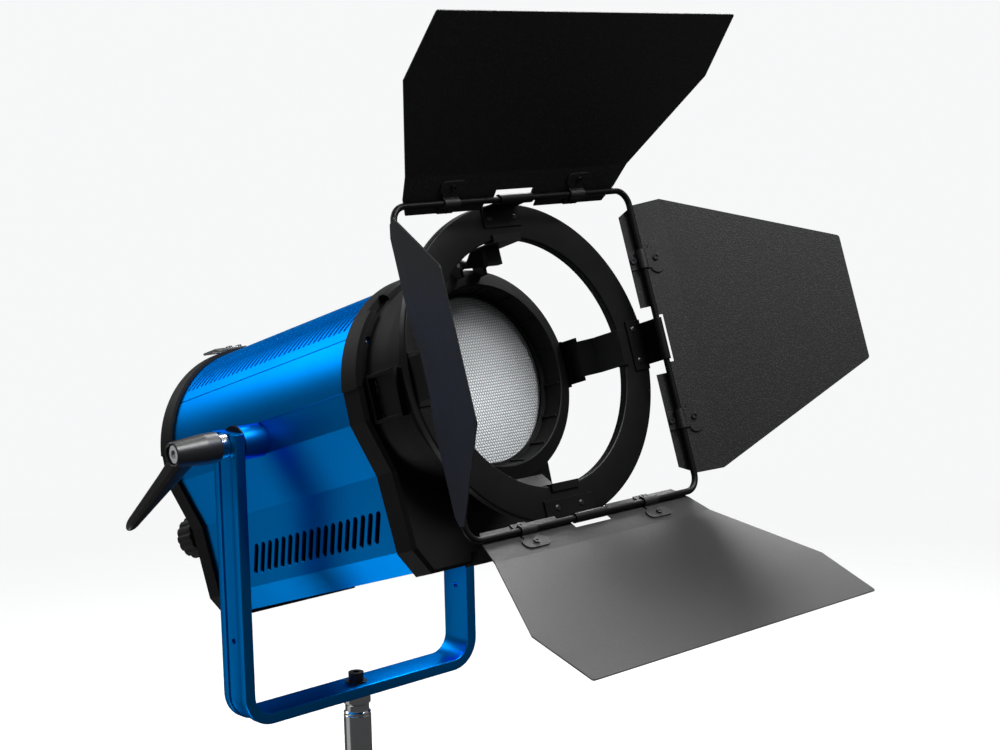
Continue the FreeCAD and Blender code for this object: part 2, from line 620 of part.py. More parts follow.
def focus_parts():
    back = PANEL_BACK + 0.2
    knob = fuse([rod(at(KNOB_X, REAR_BACK - 6, KNOB_V), at(KNOB_X, KNOB_BACK + 2.5, KNOB_V), KNOB_R),
                 cone(at(KNOB_X, KNOB_BACK + 2.5, KNOB_V), at(KNOB_X, KNOB_BACK, KNOB_V),
                      KNOB_R, KNOB_R - 2.5),
                 rod(at(KNOB_X, back - 0.6, KNOB_V), at(KNOB_X, REAR_BACK - 6, KNOB_V), 9.0)])
    flute_r = KNOB_R + 1.2
    flutes = [rod(at(KNOB_X + flute_r * math.cos(a), REAR_BACK, KNOB_V + flute_r * math.sin(a)),
                  at(KNOB_X + flute_r * math.cos(a), KNOB_BACK - 3, KNOB_V + flute_r * math.sin(a)),
                  2.6)
              for a in (math.radians(24 * k) for k in range(15))]
    bore = rod(at(KNOB_X, back + 1, KNOB_V), at(KNOB_X, REAR_BACK - 18, KNOB_V), LEAD_R)
    keep_head("focus_knob", knob.cut(group(flutes)).cut(bore))
    lead_back = REAR_BACK - 17.8
    keep_head("lead_screw", rod(at(KNOB_X, lead_back, KNOB_V), at(KNOB_X, 165, KNOB_V), LEAD_R - 0.1))

    rods = [rod(at(x, back + 3.2, GUIDE_V), at(x, BEZEL_FRONT - 5.2, GUIDE_V), GUIDE_R)
            for x in (-GUIDE_X, GUIDE_X)]
    keep_head("guide_rods", group(rods))

    s = CARRIAGE_S
    plate = fuse([
        rod(at(0, s, 0), at(0, s + 4, 0), 64.0),
        head_box(-GUIDE_X - 8, GUIDE_X + 8, s, s + 4, GUIDE_V - 9, GUIDE_V + 9),
        head_box(KNOB_X - 9, -20, s, s + 4, KNOB_V - 9, KNOB_V + 14),
        rod(at(-GUIDE_X, s - 12, GUIDE_V), at(-GUIDE_X, s + 4, GUIDE_V), GUIDE_R + 4),
        rod(at(GUIDE_X, s - 12, GUIDE_V), at(GUIDE_X, s + 4, GUIDE_V), GUIDE_R + 4),
    ])
    bores = [rod(at(x, s - 20, GUIDE_V), at(x, s + 20, GUIDE_V), GUIDE_R + RUNNING)
             for x in (-GUIDE_X, GUIDE_X)]
    bores.append(rod(at(KNOB_X, s - 20, KNOB_V), at(KNOB_X, s + 20, KNOB_V), LEAD_R + 0.5))
    keep_head("carriage_plate", plate.cut(group(bores)))
    nut = fuse([rod(at(KNOB_X, s + 4.1, KNOB_V), at(KNOB_X, s + 7, KNOB_V), 9.0),
                rod(at(KNOB_X, s + 7, KNOB_V), at(KNOB_X, s + 18, KNOB_V), 7.5)])
    keep_head("lead_nut", nut.cut(rod(at(KNOB_X, s, KNOB_V), at(KNOB_X, s + 30, KNOB_V), LEAD_R)))

    half, fins = 52.0, 15
    base = head_box(-half, half, s - 8, s - 0.1, -half, half)
    pitch = (2 * half - 2.4) / (fins - 1)
    blades = [head_box(-half + pitch * k, -half + pitch * k + 2.4, s - 44, s - 7, -half, half)
              for k in range(fins)]
    keep_head("heat_sink", fuse([base] + blades))

    board = head_box(-30, 30, s + 4.1, s + 6, -30, 30)
    keep_head("led_module", fuse([board, rod(at(0, s + 6, 0), at(0, s + 7.2, 0), 21.0)]))
    cup = [(23.5, s + 7.4), (25.5, s + 7.4), (46.0, s + 40), (44.6, s + 40)]
    keep_head("reflector", turned(cup).translated(V(0, 0, -OPTIC_RISE)))

    fan_front, fan_back = s - 44.2, s - 69.2
    hub_axis = (at(0, fan_front, 0), at(0, fan_back, 0))
    frame = head_box(-46, 46, fan_back, fan_front, -46, 46)
    frame = frame.cut(rod(at(0, fan_front + 1, 0), at(0, fan_back - 1, 0), 43.0))
    struts = [head_box(-44, 44, fan_back, fan_back + 3, -2, 2),
              head_box(-2, 2, fan_back, fan_back + 3, -44, 44)]
    motor_seat = rod(at(0, fan_back, 0), at(0, fan_back + 3.5, 0), 17.0)
    keep_head("fan_frame", fuse([frame] + struts + [motor_seat]))
    blades = []
    for k in range(7):
        blade = head_box(-1.0, 1.0, fan_back + 6, fan_front - 3, 14, 41)
        blade.rotate(at(0, (fan_front + fan_back) / 2, 0), V(0, 0, 1), 35)
        blade.rotate(V(0, 0, 0), V(0, 1, 0), 360 / 7 * k)
        blades.append(blade)
    keep_head("fan_rotor", fuse([rod(at(0, fan_back + 4, 0), hub_axis[0] - V(0, -2, 0), 17.5)] + blades))


# Electronics in the lower part of the housing

def electronics_parts():
    floor = -157.8
    case = head_box(-60, 60, -130, 20, floor + 3, floor + 32)
    feet = [rod(at(x, s, floor), at(x, s, floor + 4), 4.0) for x in (-50, 50) for s in (-120, 10)]
    keep_head("power_supply", fuse([case] + feet))


# Barn door: rotating ring, square rod frame and four leaves

def barndoor_parts():
    r0, r1, b, f, t = RING_INNER_R, RING_OUTER_R, RING_BACK, RING_BACK + RING_DEEP, 1.5
    ring = turned([(r0, b), (r0 + t, b), (r0 + t, f - t), (r1 - t, f - t),
                   (r1 - t, b), (r1, b), (r1, f), (r0, f)])
    half = ROD_SIDE / 2
    rivets, holes, tabs = [], [], []
    for angle, wide in ((0, 23.0), (90, 24.0), (180, 30.0), (-90, 24.0)):
        plate = head_box(-wide, wide, f + 0.1, f + 1.6, 126, half - 1)
        web = head_box(-20, 20, f + 0.1, ROD_S - 1, half - 2.5, half - 1)
        sleeve = rod(at(-20, ROD_S, half), at(20, ROD_S, half), ROD_R + 1.6)
        bore = rod(at(-30, ROD_S, half), at(30, ROD_S, half), ROD_R + RUNNING)
        tab = fuse([plate, web, sleeve]).cut(bore)
        for x in (-15, 15):
            hole = rod(at(x, f - 5, 134), at(x, f + 5, 134), 1.7)
            tab = tab.cut(hole)
            holes.append(round_side(hole, angle))
            rivet = rod(at(x, f - 2.4, 134), at(x, f + 1.6, 134), 1.6).fuse(
                cone(at(x, f + 1.6, 134), at(x, f + 2.6, 134), 3.2, 2.0))
            rivets.append(round_side(rivet, angle))
        tabs.append(round_side(tab, angle))
    keep_head("barndoor_ring", ring.cut(group(holes)))
    keep_head("ring_tabs", group(tabs))
    keep_head("tab_rivets", group(rivets))

    straight = half - ROD_CORNER_R
    pieces = []
    for angle in (0, 90, 180, -90):
        bar = rod(at(-straight, ROD_S, half), at(straight, ROD_S, half), ROD_R)
        bend = Part.Face(Part.Wire(Part.makeCircle(ROD_R, at(straight, ROD_S, half), V(1, 0, 0))))
        corner = bend.revolve(at(straight, ROD_S, straight), V(0, 1, 0), 90)
        pieces += [round_side(bar, angle), round_side(corner, angle)]
    keep_head("rod_frame", fuse(pieces))


def leaf_outline(wide):
    """Half of a leaf's edge as (along the rod, away from the rod) points, hinge strip and panel apart."""
    if wide:
        return 27.0, [(137.0, 27.0), (185.0, 126.0), (181.0, 193.0)]
    return 31.0, [(132.0, 31.0), (61.0, 197.0)]


def leaf_sheet(wide, crease_deg):
    """A leaf flat along x and y with the rod's axis on y = 0, creased a little beyond the hinge strip."""
    crease, half_panel = leaf_outline(wide)
    low = -(ROD_R + 0.4 + SHEET)
    corner_x = half_panel[0][0]
    half_strip = [(23, 8), (23, -1.5), (31, -1.5), (34, -12), (122, -12), (131, 4), (corner_x, crease)]
    strip = half_strip + [(-x, y) for x, y in reversed(half_strip)]
    panel = [(-x, y) for x, y in reversed(half_panel)] + half_panel
    panel = [(x, y - 0.3 if y == crease else y) for x, y in panel]
    flat = []
    for outline in (strip, panel):
        face = Part.Face(polygon(outline, lambda x, y: V(x, y, low)))
        flat.append(face.extrude(V(0, 0, SHEET)))
    flat[1].rotate(V(0, crease, low + SHEET), V(1, 0, 0), crease_deg)
    return fuse(flat)


def clip_shape(x):
    """A hinge clip over the rod: a strap with a foot on each side, the outer foot a stadium plate."""
    foot, top = -(ROD_R + 0.4), -(ROD_R + 0.4) + 1.3
    outer = ROD_R + 1.6
    wrap = [rod(V(x - 9, 0, 0), V(x + 9, 0, 0), outer), box(x - 9, x + 9, -outer, outer, foot, 0)]
    inner_foot = box(x - 9, x + 9, -12, -outer + 1, foot, top)
    plate = obround(30, 13).extrude(V(0, 0, 1.3))
    plate.translate(V(x, 14.5, foot))
    neck = box(x - 9, x + 9, outer - 1, 14, foot, top)
    solid = fuse(wrap + [inner_foot, plate, neck])
    slot = box(x - 10, x + 10, -ROD_R - RUNNING, ROD_R + RUNNING, foot, 0)
    below = box(x - 10, x + 10, -outer, outer, foot - 5, foot)
    bore = rod(V(x - 12, 0, 0), V(x + 12, 0, 0), ROD_R + RUNNING)
    return solid.cut(group([slot, below])).cut(bore)


def leaf_parts(name, side_angle, wide, open_deg, crease_deg):
    """One leaf with its clips and screws, swung forwards by open_deg from the frame's plane."""
    half = ROD_SIDE / 2
    sheet = leaf_sheet(wide, crease_deg)
    clips = [clip_shape(x) for x in (-CLIP_X, CLIP_X)]
    foot = -(ROD_R + 0.4)
    screws, holes = [], []
    for x in (-CLIP_X, CLIP_X):
        for y in (-8.3, 14.5):
            holes.append(rod(V(x, y, foot - 3), V(x, y, foot + 3), 1.7))
            screws.append(screw(V(x, y, foot + 1.35), V(0, 0, 1), 2.9, 1.5, 1.6, 2.45))
    sheet = sheet.cut(group(holes))
    clips = [clip.cut(group(holes)) for clip in clips]
    turn = math.radians(open_deg)
    outward = V(0, -math.sin(turn), math.cos(turn))
    inward = V(0, -math.cos(turn), -math.sin(turn))
    hinge = at(0, ROD_S, half)
    matrix = FreeCAD.Matrix(1, outward.x, inward.x, hinge.x, 0, outward.y, inward.y, hinge.y,
                            0, outward.z, inward.z, hinge.z, 0, 0, 0, 1)
    for part, shape in (("leaf", sheet), ("leaf_clips", group(clips)), ("leaf_screws", group(screws))):
        keep_head(name + "_" + part, round_side(shape.transformed(matrix), side_angle))


def write():
    os.makedirs("parts", exist_ok=True)
    for name, shape in nodes.items():
        shape.exportStep("parts/" + name + ".step")


yoke_parts()
lever_parts()
housing_parts()
front_parts()
bracket_parts()
rear_parts()
focus_parts()
electronics_parts()
barndoor_parts()
leaf_parts("top", 0, True, 47.0, 6.0)
leaf_parts("bottom", 180, True, 46.0, 6.0)
leaf_parts("right", 90, False, 32.0, 1.5)
leaf_parts("left", -90, False, 57.0, 1.5)
write()
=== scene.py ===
"""The looks of a focusing LED studio lamp with a barn door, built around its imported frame.

The file is laid out as an add-on: sizes and colours are properties, each group of pieces is an operator,
and one panel lists them. Run as a script, it makes every piece in order.
"""

import json
import math

import bmesh
import bpy
import numpy as np
from mathutils import Matrix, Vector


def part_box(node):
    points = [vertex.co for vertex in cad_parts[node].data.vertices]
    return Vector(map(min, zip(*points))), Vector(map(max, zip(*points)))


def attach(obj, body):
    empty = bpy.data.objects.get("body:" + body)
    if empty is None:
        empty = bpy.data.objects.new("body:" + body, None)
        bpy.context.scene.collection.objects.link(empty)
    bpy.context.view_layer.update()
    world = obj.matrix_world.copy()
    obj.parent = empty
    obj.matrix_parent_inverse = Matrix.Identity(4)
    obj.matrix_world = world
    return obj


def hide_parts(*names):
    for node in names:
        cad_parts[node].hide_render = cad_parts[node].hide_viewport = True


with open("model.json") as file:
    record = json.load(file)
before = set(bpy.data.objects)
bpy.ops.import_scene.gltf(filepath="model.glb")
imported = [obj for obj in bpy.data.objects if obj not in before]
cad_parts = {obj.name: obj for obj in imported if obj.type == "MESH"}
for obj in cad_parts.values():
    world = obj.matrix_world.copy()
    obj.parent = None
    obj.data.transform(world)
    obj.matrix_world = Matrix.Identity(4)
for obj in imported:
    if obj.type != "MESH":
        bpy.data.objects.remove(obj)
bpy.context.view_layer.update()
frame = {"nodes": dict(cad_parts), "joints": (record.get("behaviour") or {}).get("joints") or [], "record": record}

bl_info = {
    "name": "Fresnel spotlight looks",
    "version": (1, 0, 0),
    "blender": (4, 5, 0),
    "location": "3D View > Sidebar > Spotlight",
    "description": "Builds the visible pieces and finishes of a fresnel spotlight around its CAD frame",
    "category": "Object",
}

MM = 0.001

# Head coordinates, in millimetres from the pivot: x to the right, s forwards along the beam, v up across it
JOINTS = {joint["name"]: joint for joint in frame["joints"]}
PIVOT = np.array(JOINTS["head_tilt"]["pos_m"]) / MM
SIDE = np.array([1.0, 0.0, 0.0])
FORWARD = np.array(JOINTS["carriage_slide"]["axis"])
UP = np.cross(FORWARD, SIDE)


def head(x, s, v):
    """Points in metres from arrays of head coordinates: pivot + x along side + s forwards + v up."""
    x, s, v = np.broadcast_arrays(x, s, v)
    return (PIVOT + x[..., None] * SIDE + s[..., None] * FORWARD + v[..., None] * UP) * MM


def straight(x, y, z):
    """Points in metres from arrays of row coordinates in millimetres."""
    return np.stack(np.broadcast_arrays(x, y, z), -1) * MM


def span(node):
    """A CAD node's lowest and highest (x, s, v) in head coordinates."""
    mesh = frame["nodes"][node].data
    flat = np.zeros(len(mesh.vertices) * 3)
    mesh.vertices.foreach_get("co", flat)
    points = flat.reshape(-1, 3) / MM - PIVOT
    local = np.stack([points @ SIDE, points @ FORWARD, points @ UP], -1)
    return local.min(0), local.max(0)


OPTIC_V = (np.array(JOINTS["barndoor_spin"]["pos_m"]) / MM - PIVOT) @ UP


# Meshes

class Shell:
    """Grids of points gathered into one mesh."""

    def __init__(self):
        self.points = []
        self.faces = []
        self.count = 0

    def grid(self, points, wrap=(False, False), caps=(False, False), keep=None):
        """One quad per cell of a rows by columns grid of points.

        wrap joins the last row or column to the first. caps closes the first or last row with a fan to its
        mean point. keep is a mask of the cells to make."""
        rows, columns = points.shape[:2]
        index = np.arange(rows * columns).reshape(rows, columns) + self.count
        ring = np.hstack([index, index[:, :1]]) if wrap[1] else index
        if wrap[0]:
            ring = np.vstack([ring, ring[:1]])
        quads = np.stack([ring[:-1, :-1], ring[:-1, 1:], ring[1:, 1:], ring[1:, :-1]], -1)
        quads = quads.reshape(-1, 4) if keep is None else quads[keep]
        self.faces += quads.tolist()
        self.points.append(points.reshape(-1, 3))
        self.count += rows * columns
        for wanted, row in zip(caps, (0, -1)):
            if wanted:
                edge = ring[row]
                centre = np.full(len(edge) - 1, self.count)
                fan = np.stack([edge[:-1], edge[1:], centre], -1)
                self.faces += (fan[:, ::-1] if row == 0 else fan).tolist()
                self.points.append(points[row].mean(0)[None])
                self.count += 1
        return self

    def build(self, name, closed=True, sharp_deg=38.0):
        """A smooth-shaded object whose edges above sharp_deg stay crisp, with its faces outwards."""
        mesh = bpy.data.meshes.new(name)
        mesh.from_pydata(np.concatenate(self.points).tolist(), [], self.faces)
        work = bmesh.new()
        work.from_mesh(mesh)
        bmesh.ops.remove_doubles(work, verts=work.verts, dist=1e-6)
        if closed:
            bmesh.ops.recalc_face_normals(work, faces=work.faces)
        loose = [vertex for vertex in work.verts if not vertex.link_faces]
        bmesh.ops.delete(work, geom=loose, context="VERTS")
        work.to_mesh(mesh)
        work.free()
        mesh.shade_smooth()
        mesh.set_sharp_from_angle(angle=math.radians(sharp_deg))
        piece = bpy.data.objects.new(name, mesh)
        bpy.context.scene.collection.objects.link(piece)
        return piece


def rounded(corners, radius, steps=5, closed=True):
    """A polyline with each corner turned into an arc.

    The arc starts and ends radius / tan(half the corner) away from the corner."""
    corners = np.asarray(corners, float)
    count = len(corners)
    radii = np.broadcast_to(radius, count)
    out = []
    for k in range(count):
        here = corners[k]
        if not closed and k in (0, count - 1) or radii[k] <= 0:
            out.append(here[None])
            continue
        back, ahead = corners[k - 1] - here, corners[(k + 1) % count] - here
        long_back, long_ahead = np.linalg.norm(back), np.linalg.norm(ahead)
        back, ahead = back / long_back, ahead / long_ahead
        half = math.acos(np.clip(back @ ahead, -1, 1)) / 2
        if half > math.radians(89.5):
            out.append(here[None])
            continue
        reach = min(radii[k] / math.tan(half), 0.49 * min(long_back, long_ahead))
        true_radius = reach * math.tan(half)
        middle = (back + ahead) / np.linalg.norm(back + ahead) * (true_radius / math.sin(half))
        angles = np.linspace(-1, 1, steps + 1) * (math.pi / 2 - half)
        inward = -middle / np.linalg.norm(middle)
        across = back - inward * (back @ inward)
        across /= np.linalg.norm(across)
        arc = np.cos(angles)[:, None] * inward - np.sin(angles)[:, None] * across
        out.append(here + middle + arc * true_radius)
    return np.concatenate(out)


def turned(profile, segments, place, centre=(0.0, 0.0)):
    """A closed (radius, height) profile turned about an axis: x = r cos a, y = r sin a about the centre.

    place maps the arrays (across, along, up) to points, with along the axis."""
    angle = np.linspace(0, 2 * math.pi, segments, endpoint=False)[None]
    radius, height = profile[:, 0, None], profile[:, 1, None]
    return place(centre[0] + radius * np.cos(angle), height + 0 * angle, centre[1] + radius * np.sin(angle))


def swept(path, section, binormal, closed):
    """A section carried along a flat path.

    Each point is path + a times the path's normal + b times the binormal."""
    if closed:
        tangent = np.roll(path, -1, 0) - np.roll(path, 1, 0)
    else:
        tangent = np.gradient(path, axis=0)
    tangent /= np.linalg.norm(tangent, axis=1)[:, None]
    binormal = np.asarray(binormal, float)
    normal = np.cross(binormal, tangent)
    return path[:, None] + section[None, :, :1] * normal[:, None] + section[None, :, 1:] * binormal


def circle(radius, count):
    """Points round a circle."""
    angle = np.linspace(0, 2 * math.pi, count, endpoint=False)
    return np.stack([radius * np.cos(angle), radius * np.sin(angle)], -1)


def bevelled(piece, width, angle_deg=35.0, segments=2):
    """A live bevel on the edges sharper than the angle."""
    bevel = piece.modifiers.new("edge rounding", "BEVEL")
    bevel.width = width * MM
    bevel.segments = segments
    bevel.limit_method = "ANGLE"
    bevel.angle_limit = math.radians(angle_deg)
    bevel.harden_normals = True
    return piece


def thickened(piece, thickness):
    """A live wall of even thickness, half on each side of the surface."""
    wall = piece.modifiers.new("sheet thickness", "SOLIDIFY")
    wall.thickness = thickness * MM
    wall.offset = 0.0
    return piece


def applied(piece):
    """The piece with its modifiers applied to its mesh."""
    graph = bpy.context.evaluated_depsgraph_get()
    mesh = bpy.data.meshes.new_from_object(piece.evaluated_get(graph))
    piece.modifiers.clear()
    piece.data = mesh
    return piece


def bored(piece, cutters):
    """The piece with closed cutter shells taken away from it."""
    for cutter in cutters:
        cut = piece.modifiers.new("bore", "BOOLEAN")
        cut.operation = "DIFFERENCE"
        cut.solver = "EXACT"
        cut.object = cutter
    applied(piece)
    for cutter in cutters:
        bpy.data.objects.remove(cutter)
    piece.data.shade_smooth()
    piece.data.set_sharp_from_angle(angle=math.radians(38.0))
    return piece


def finished(piece, body, slot, finish, *nodes):
    """The piece on its body, with its material and the CAD nodes that it stands for; its record slot is not used.
    """
    piece.data.materials.clear()
    piece.data.materials.append(finish)
    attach(piece, body)
    if nodes:
        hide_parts(*nodes)
    return piece


# Materials

class Value:
    """A node socket on which Python's arithmetic adds Math nodes."""

    def __init__(self, paint, socket):
        self.paint = paint
        self.socket = socket

    def _maths(self, operation, first, second):
        return self.paint.node("ShaderNodeMath", {"operation": operation}, {0: first, 1: second})

    def __add__(self, other):
        return self._maths("ADD", self, other)

    def __radd__(self, other):
        return self._maths("ADD", other, self)

    def __sub__(self, other):
        return self._maths("SUBTRACT", self, other)

    def __rsub__(self, other):
        return self._maths("SUBTRACT", other, self)

    def __mul__(self, other):
        return self._maths("MULTIPLY", self, other)

    def __rmul__(self, other):
        return self._maths("MULTIPLY", other, self)

    def least(self, other):
        """The smaller of two values."""
        return self._maths("MINIMUM", self, other)

    def off_centre(self):
        """How far the value is from the nearest whole number."""
        return self - self.paint.node("ShaderNodeMath", {"operation": "ROUND"}, {0: self})

    def root(self):
        return self.paint.node("ShaderNodeMath", {"operation": "SQRT"}, {0: self})

    def clipped(self):
        """The value held between 0 and 1."""
        return self.paint.node("ShaderNodeClamp", {}, {"Value": self})


class Paint:
    """One material: a Principled shader with its constants, and the nodes that vary over the surface."""

    def __init__(self, name, **constants):
        self.material = bpy.data.materials.new(name)
        self.material.use_nodes = True
        self.tree = self.material.node_tree
        self.shader = self.tree.nodes["Principled BSDF"]
        for key, value in constants.items():
            self.shader.inputs[key.replace("_", " ")].default_value = value
        self.place = self.node("ShaderNodeTexCoord", {}, {}, "Object")

    def node(self, kind, settings, inputs, output=0):
        """Any node: its settings first, then its inputs as values or links. Returns one output."""
        made = self.tree.nodes.new(kind)
        for key, value in settings.items():
            if key == "stops":
                ramp = made.color_ramp
                while len(ramp.elements) < len(value):
                    ramp.elements.new(0.5)
                for element, (position, colour) in zip(ramp.elements, value):
                    element.position = position
                    element.color = colour
            else:
                setattr(made, key, value)
        for key, value in inputs.items():
            if isinstance(value, Value):
                self.tree.links.new(value.socket, made.inputs[key])
            else:
                made.inputs[key].default_value = value
        return Value(self, made.outputs[output])

    def set(self, key, value):
        """Links a varying value to one of the shader's sockets."""
        self.tree.links.new(value.socket, self.shader.inputs[key])

    def noise(self, size_mm, detail=2.0, stretch=(1.0, 1.0, 1.0), turn=0.0):
        """Noise from 0 to 1 whose grains are about size_mm across, stretched along the turned axes."""
        place = self.node("ShaderNodeMapping", {}, {
            "Vector": self.place, "Rotation": (turn, 0.0, 0.0), "Scale": stretch})
        return self.node("ShaderNodeTexNoise", {}, {
            "Vector": place, "Scale": 0.5 / (size_mm * MM), "Detail": detail})

    def cells(self, size_mm):
        """Distance to the nearest of points scattered about size_mm apart."""
        return self.node("ShaderNodeTexVoronoi", {}, {
            "Vector": self.place, "Scale": 1.0 / (size_mm * MM)}, "Distance")

    def between(self, factor, low, high):
        """A colour mixed from low to high."""
        made = self.tree.nodes.new("ShaderNodeMix")
        made.data_type = "RGBA"
        for socket, value in zip((made.inputs[0], made.inputs[6], made.inputs[7]), (factor, low, high)):
            if isinstance(value, Value):
                self.tree.links.new(value.socket, socket)
            else:
                socket.default_value = value
        return Value(self, made.outputs[2])

    def steps(self, value, low, high):
        """The value spread from 0 at low to 1 at high."""
        return self.node("ShaderNodeMapRange", {}, {"Value": value, "From Min": low, "From Max": high})

    def edges(self, size_mm):
        """Near 1 along edges and near 0 on flats: one minus the rounded normal's share of the true one. Where a
        finish lightens its colour with it, that is a painted highlight along the edges.
        """
        soft = self.node("ShaderNodeBevel", {"samples": 4}, {"Radius": size_mm * MM})
        true = self.node("ShaderNodeNewGeometry", {}, {}, "Normal")
        same = self.node("ShaderNodeVectorMath", {"operation": "DOT_PRODUCT"}, {0: soft, 1: true}, "Value")
        return self.steps(1.0 - same, 0.01, 0.16)

    def relief(self, height, depth_mm, edge_mm=0.0):
        """Bumps of the given depth over edges that read as rounded by edge_mm."""
        inputs = {"Height": height, "Distance": depth_mm * MM, "Strength": 1.0}
        if edge_mm:
            inputs["Normal"] = self.node("ShaderNodeBevel", {"samples": 4}, {"Radius": edge_mm * MM})
        self.set("Normal", self.node("ShaderNodeBump", {}, inputs))


def opaque(colour):
    """A property's three-part colour with full alpha."""
    return (*colour, 1.0)


def shade(colour, share):
    """A colour made lighter or darker by a share."""
    return (*[min(1.0, part * share) for part in colour[:3]], 1.0)


def anodised_blue(colour, edge_and_highlight_colour):
    """Satin bead-blasted and dyed aluminium: fine grain, faint handling marks, and paler blue on the edges, partly
    wear and partly a painted highlight.
    """
    paint = Paint("satin blue anodising", Metallic=1.0, Specular_Tint=opaque(edge_and_highlight_colour))
    grain = paint.noise(0.35, 3.0)
    clouds = paint.noise(60.0, 2.0)
    # Painted highlight along the edges, broken up by noise; partly also wear of the dye.
    wear_and_edge_highlight = paint.edges(0.7) * paint.steps(paint.noise(5.0, 3.0), 0.3, 0.6)
    dyed = paint.between(clouds, shade(colour, 0.9), shade(colour, 1.12))
    paint.set("Base Color", paint.between((wear_and_edge_highlight * 0.4).clipped(), dyed, opaque(edge_and_highlight_colour)))
    paint.set("Roughness", 0.3 + grain * 0.08 + paint.noise(18.0) * 0.06)
    paint.relief(grain, 0.012, 0.5)
    return paint.material


def powder_coat(colour, speck_colour):
    """Fine-textured powder coat: pinhead grains, tiny paler specks, and edges lightened, partly polish and partly
    a painted highlight.
    """
    paint = Paint("speckled black powder coat", Specular_IOR_Level=0.45)
    grain = paint.noise(0.7, 3.0)
    specks = paint.steps(paint.noise(0.7, 1.0), 0.52, 0.74)
    # Paler specks, and a painted highlight along the edges.
    pale = (specks * 0.5 + paint.edges(0.6) * 0.3).clipped()
    paint.set("Base Color", paint.between(pale, opaque(colour), opaque(speck_colour)))
    paint.set("Roughness", 0.4 + grain * 0.2)
    paint.relief(grain, 0.16, 0.4)
    return paint.material


def satin_paint(colour):
    """Smooth satin black over rolled steel: long soft waves, and paler edges, partly polish and partly a painted
    highlight.
    """
    paint = Paint("satin black ring paint", Specular_IOR_Level=0.18)
    waves = paint.noise(14.0, 2.0)
    peel = paint.noise(1.4, 2.0)
    # Painted highlight along the edges, broken up by noise, plus long soft waves of random tone.
    edge_highlight_and_waves = (paint.edges(0.7) * paint.noise(6.0, 2.0) + waves * 0.2).clipped()
    paint.set("Base Color", paint.between(edge_highlight_and_waves, opaque(colour), shade(colour, 3.0)))
    paint.set("Roughness", 0.3 + waves * 0.12 + peel * 0.06)
    paint.relief(peel, 0.02, 0.5)
    return paint.material


def moulded_plastic(colour, depth_mm=0.08):
    """Spark-eroded mould texture on black nylon: soft pits, a faint cloudiness, smoother edges that are also
    lightened as a painted highlight.
    """
    paint = Paint("textured black moulding", Specular_IOR_Level=0.16)
    pits = paint.cells(0.9)
    fine = paint.noise(0.4, 2.0)
    edge = paint.edges(0.9)
    # Clouds of random tone, and a painted highlight along the edges.
    tone = (paint.noise(25.0) * 0.5 + edge * 0.6).clipped()
    paint.set("Base Color", paint.between(tone, opaque(colour), shade(colour, 2.0)))
    paint.set("Roughness", 0.52 + fine * 0.16 - edge * 0.12)
    paint.relief(pits * 0.6 + fine * 0.4, depth_mm, 0.9)
    return paint.material


def lever_black(colour):
    """Smooth satin paint on a die casting, a little orange-peeled, and paler on its edges: partly polish where
    fingers touch it and partly a painted highlight.
    """
    paint = Paint("satin black casting", Specular_IOR_Level=0.5, Coat_Weight=0.15, Coat_Roughness=0.3)
    peel = paint.noise(2.2, 1.0)
    # Painted highlight along the edges, broken up by noise; partly also polish.
    edge_polish_and_highlight = paint.edges(1.2) * paint.noise(7.0, 2.0)
    paint.set("Base Color", paint.between(edge_polish_and_highlight.clipped(), opaque(colour), shade(colour, 2.4)))
    paint.set("Roughness", 0.34 + peel * 0.1)
    paint.relief(peel, 0.03, 0.6)
    return paint.material


def metal(name, colour, roughness, grain_mm, depth_mm, edge_mm=0.3, tarnish=0.85):
    """Bare or plated metal: fine turning marks, slight tarnish in clouds and hairline scratches."""
    paint = Paint(name, Metallic=1.0)
    marks = paint.noise(grain_mm, 3.0, (1.0, 1.0, 6.0))
    clouds = paint.noise(9.0, 3.0)
    scratch = paint.steps(paint.noise(1.2, 2.0, (14.0, 1.0, 1.0)), 0.66, 0.72)
    paint.set("Base Color", paint.between(clouds, shade(colour, tarnish), opaque(colour)))
    paint.set("Roughness", roughness + marks * 0.1 + scratch * 0.12)
    paint.relief(marks, depth_mm, edge_mm)
    return paint.material


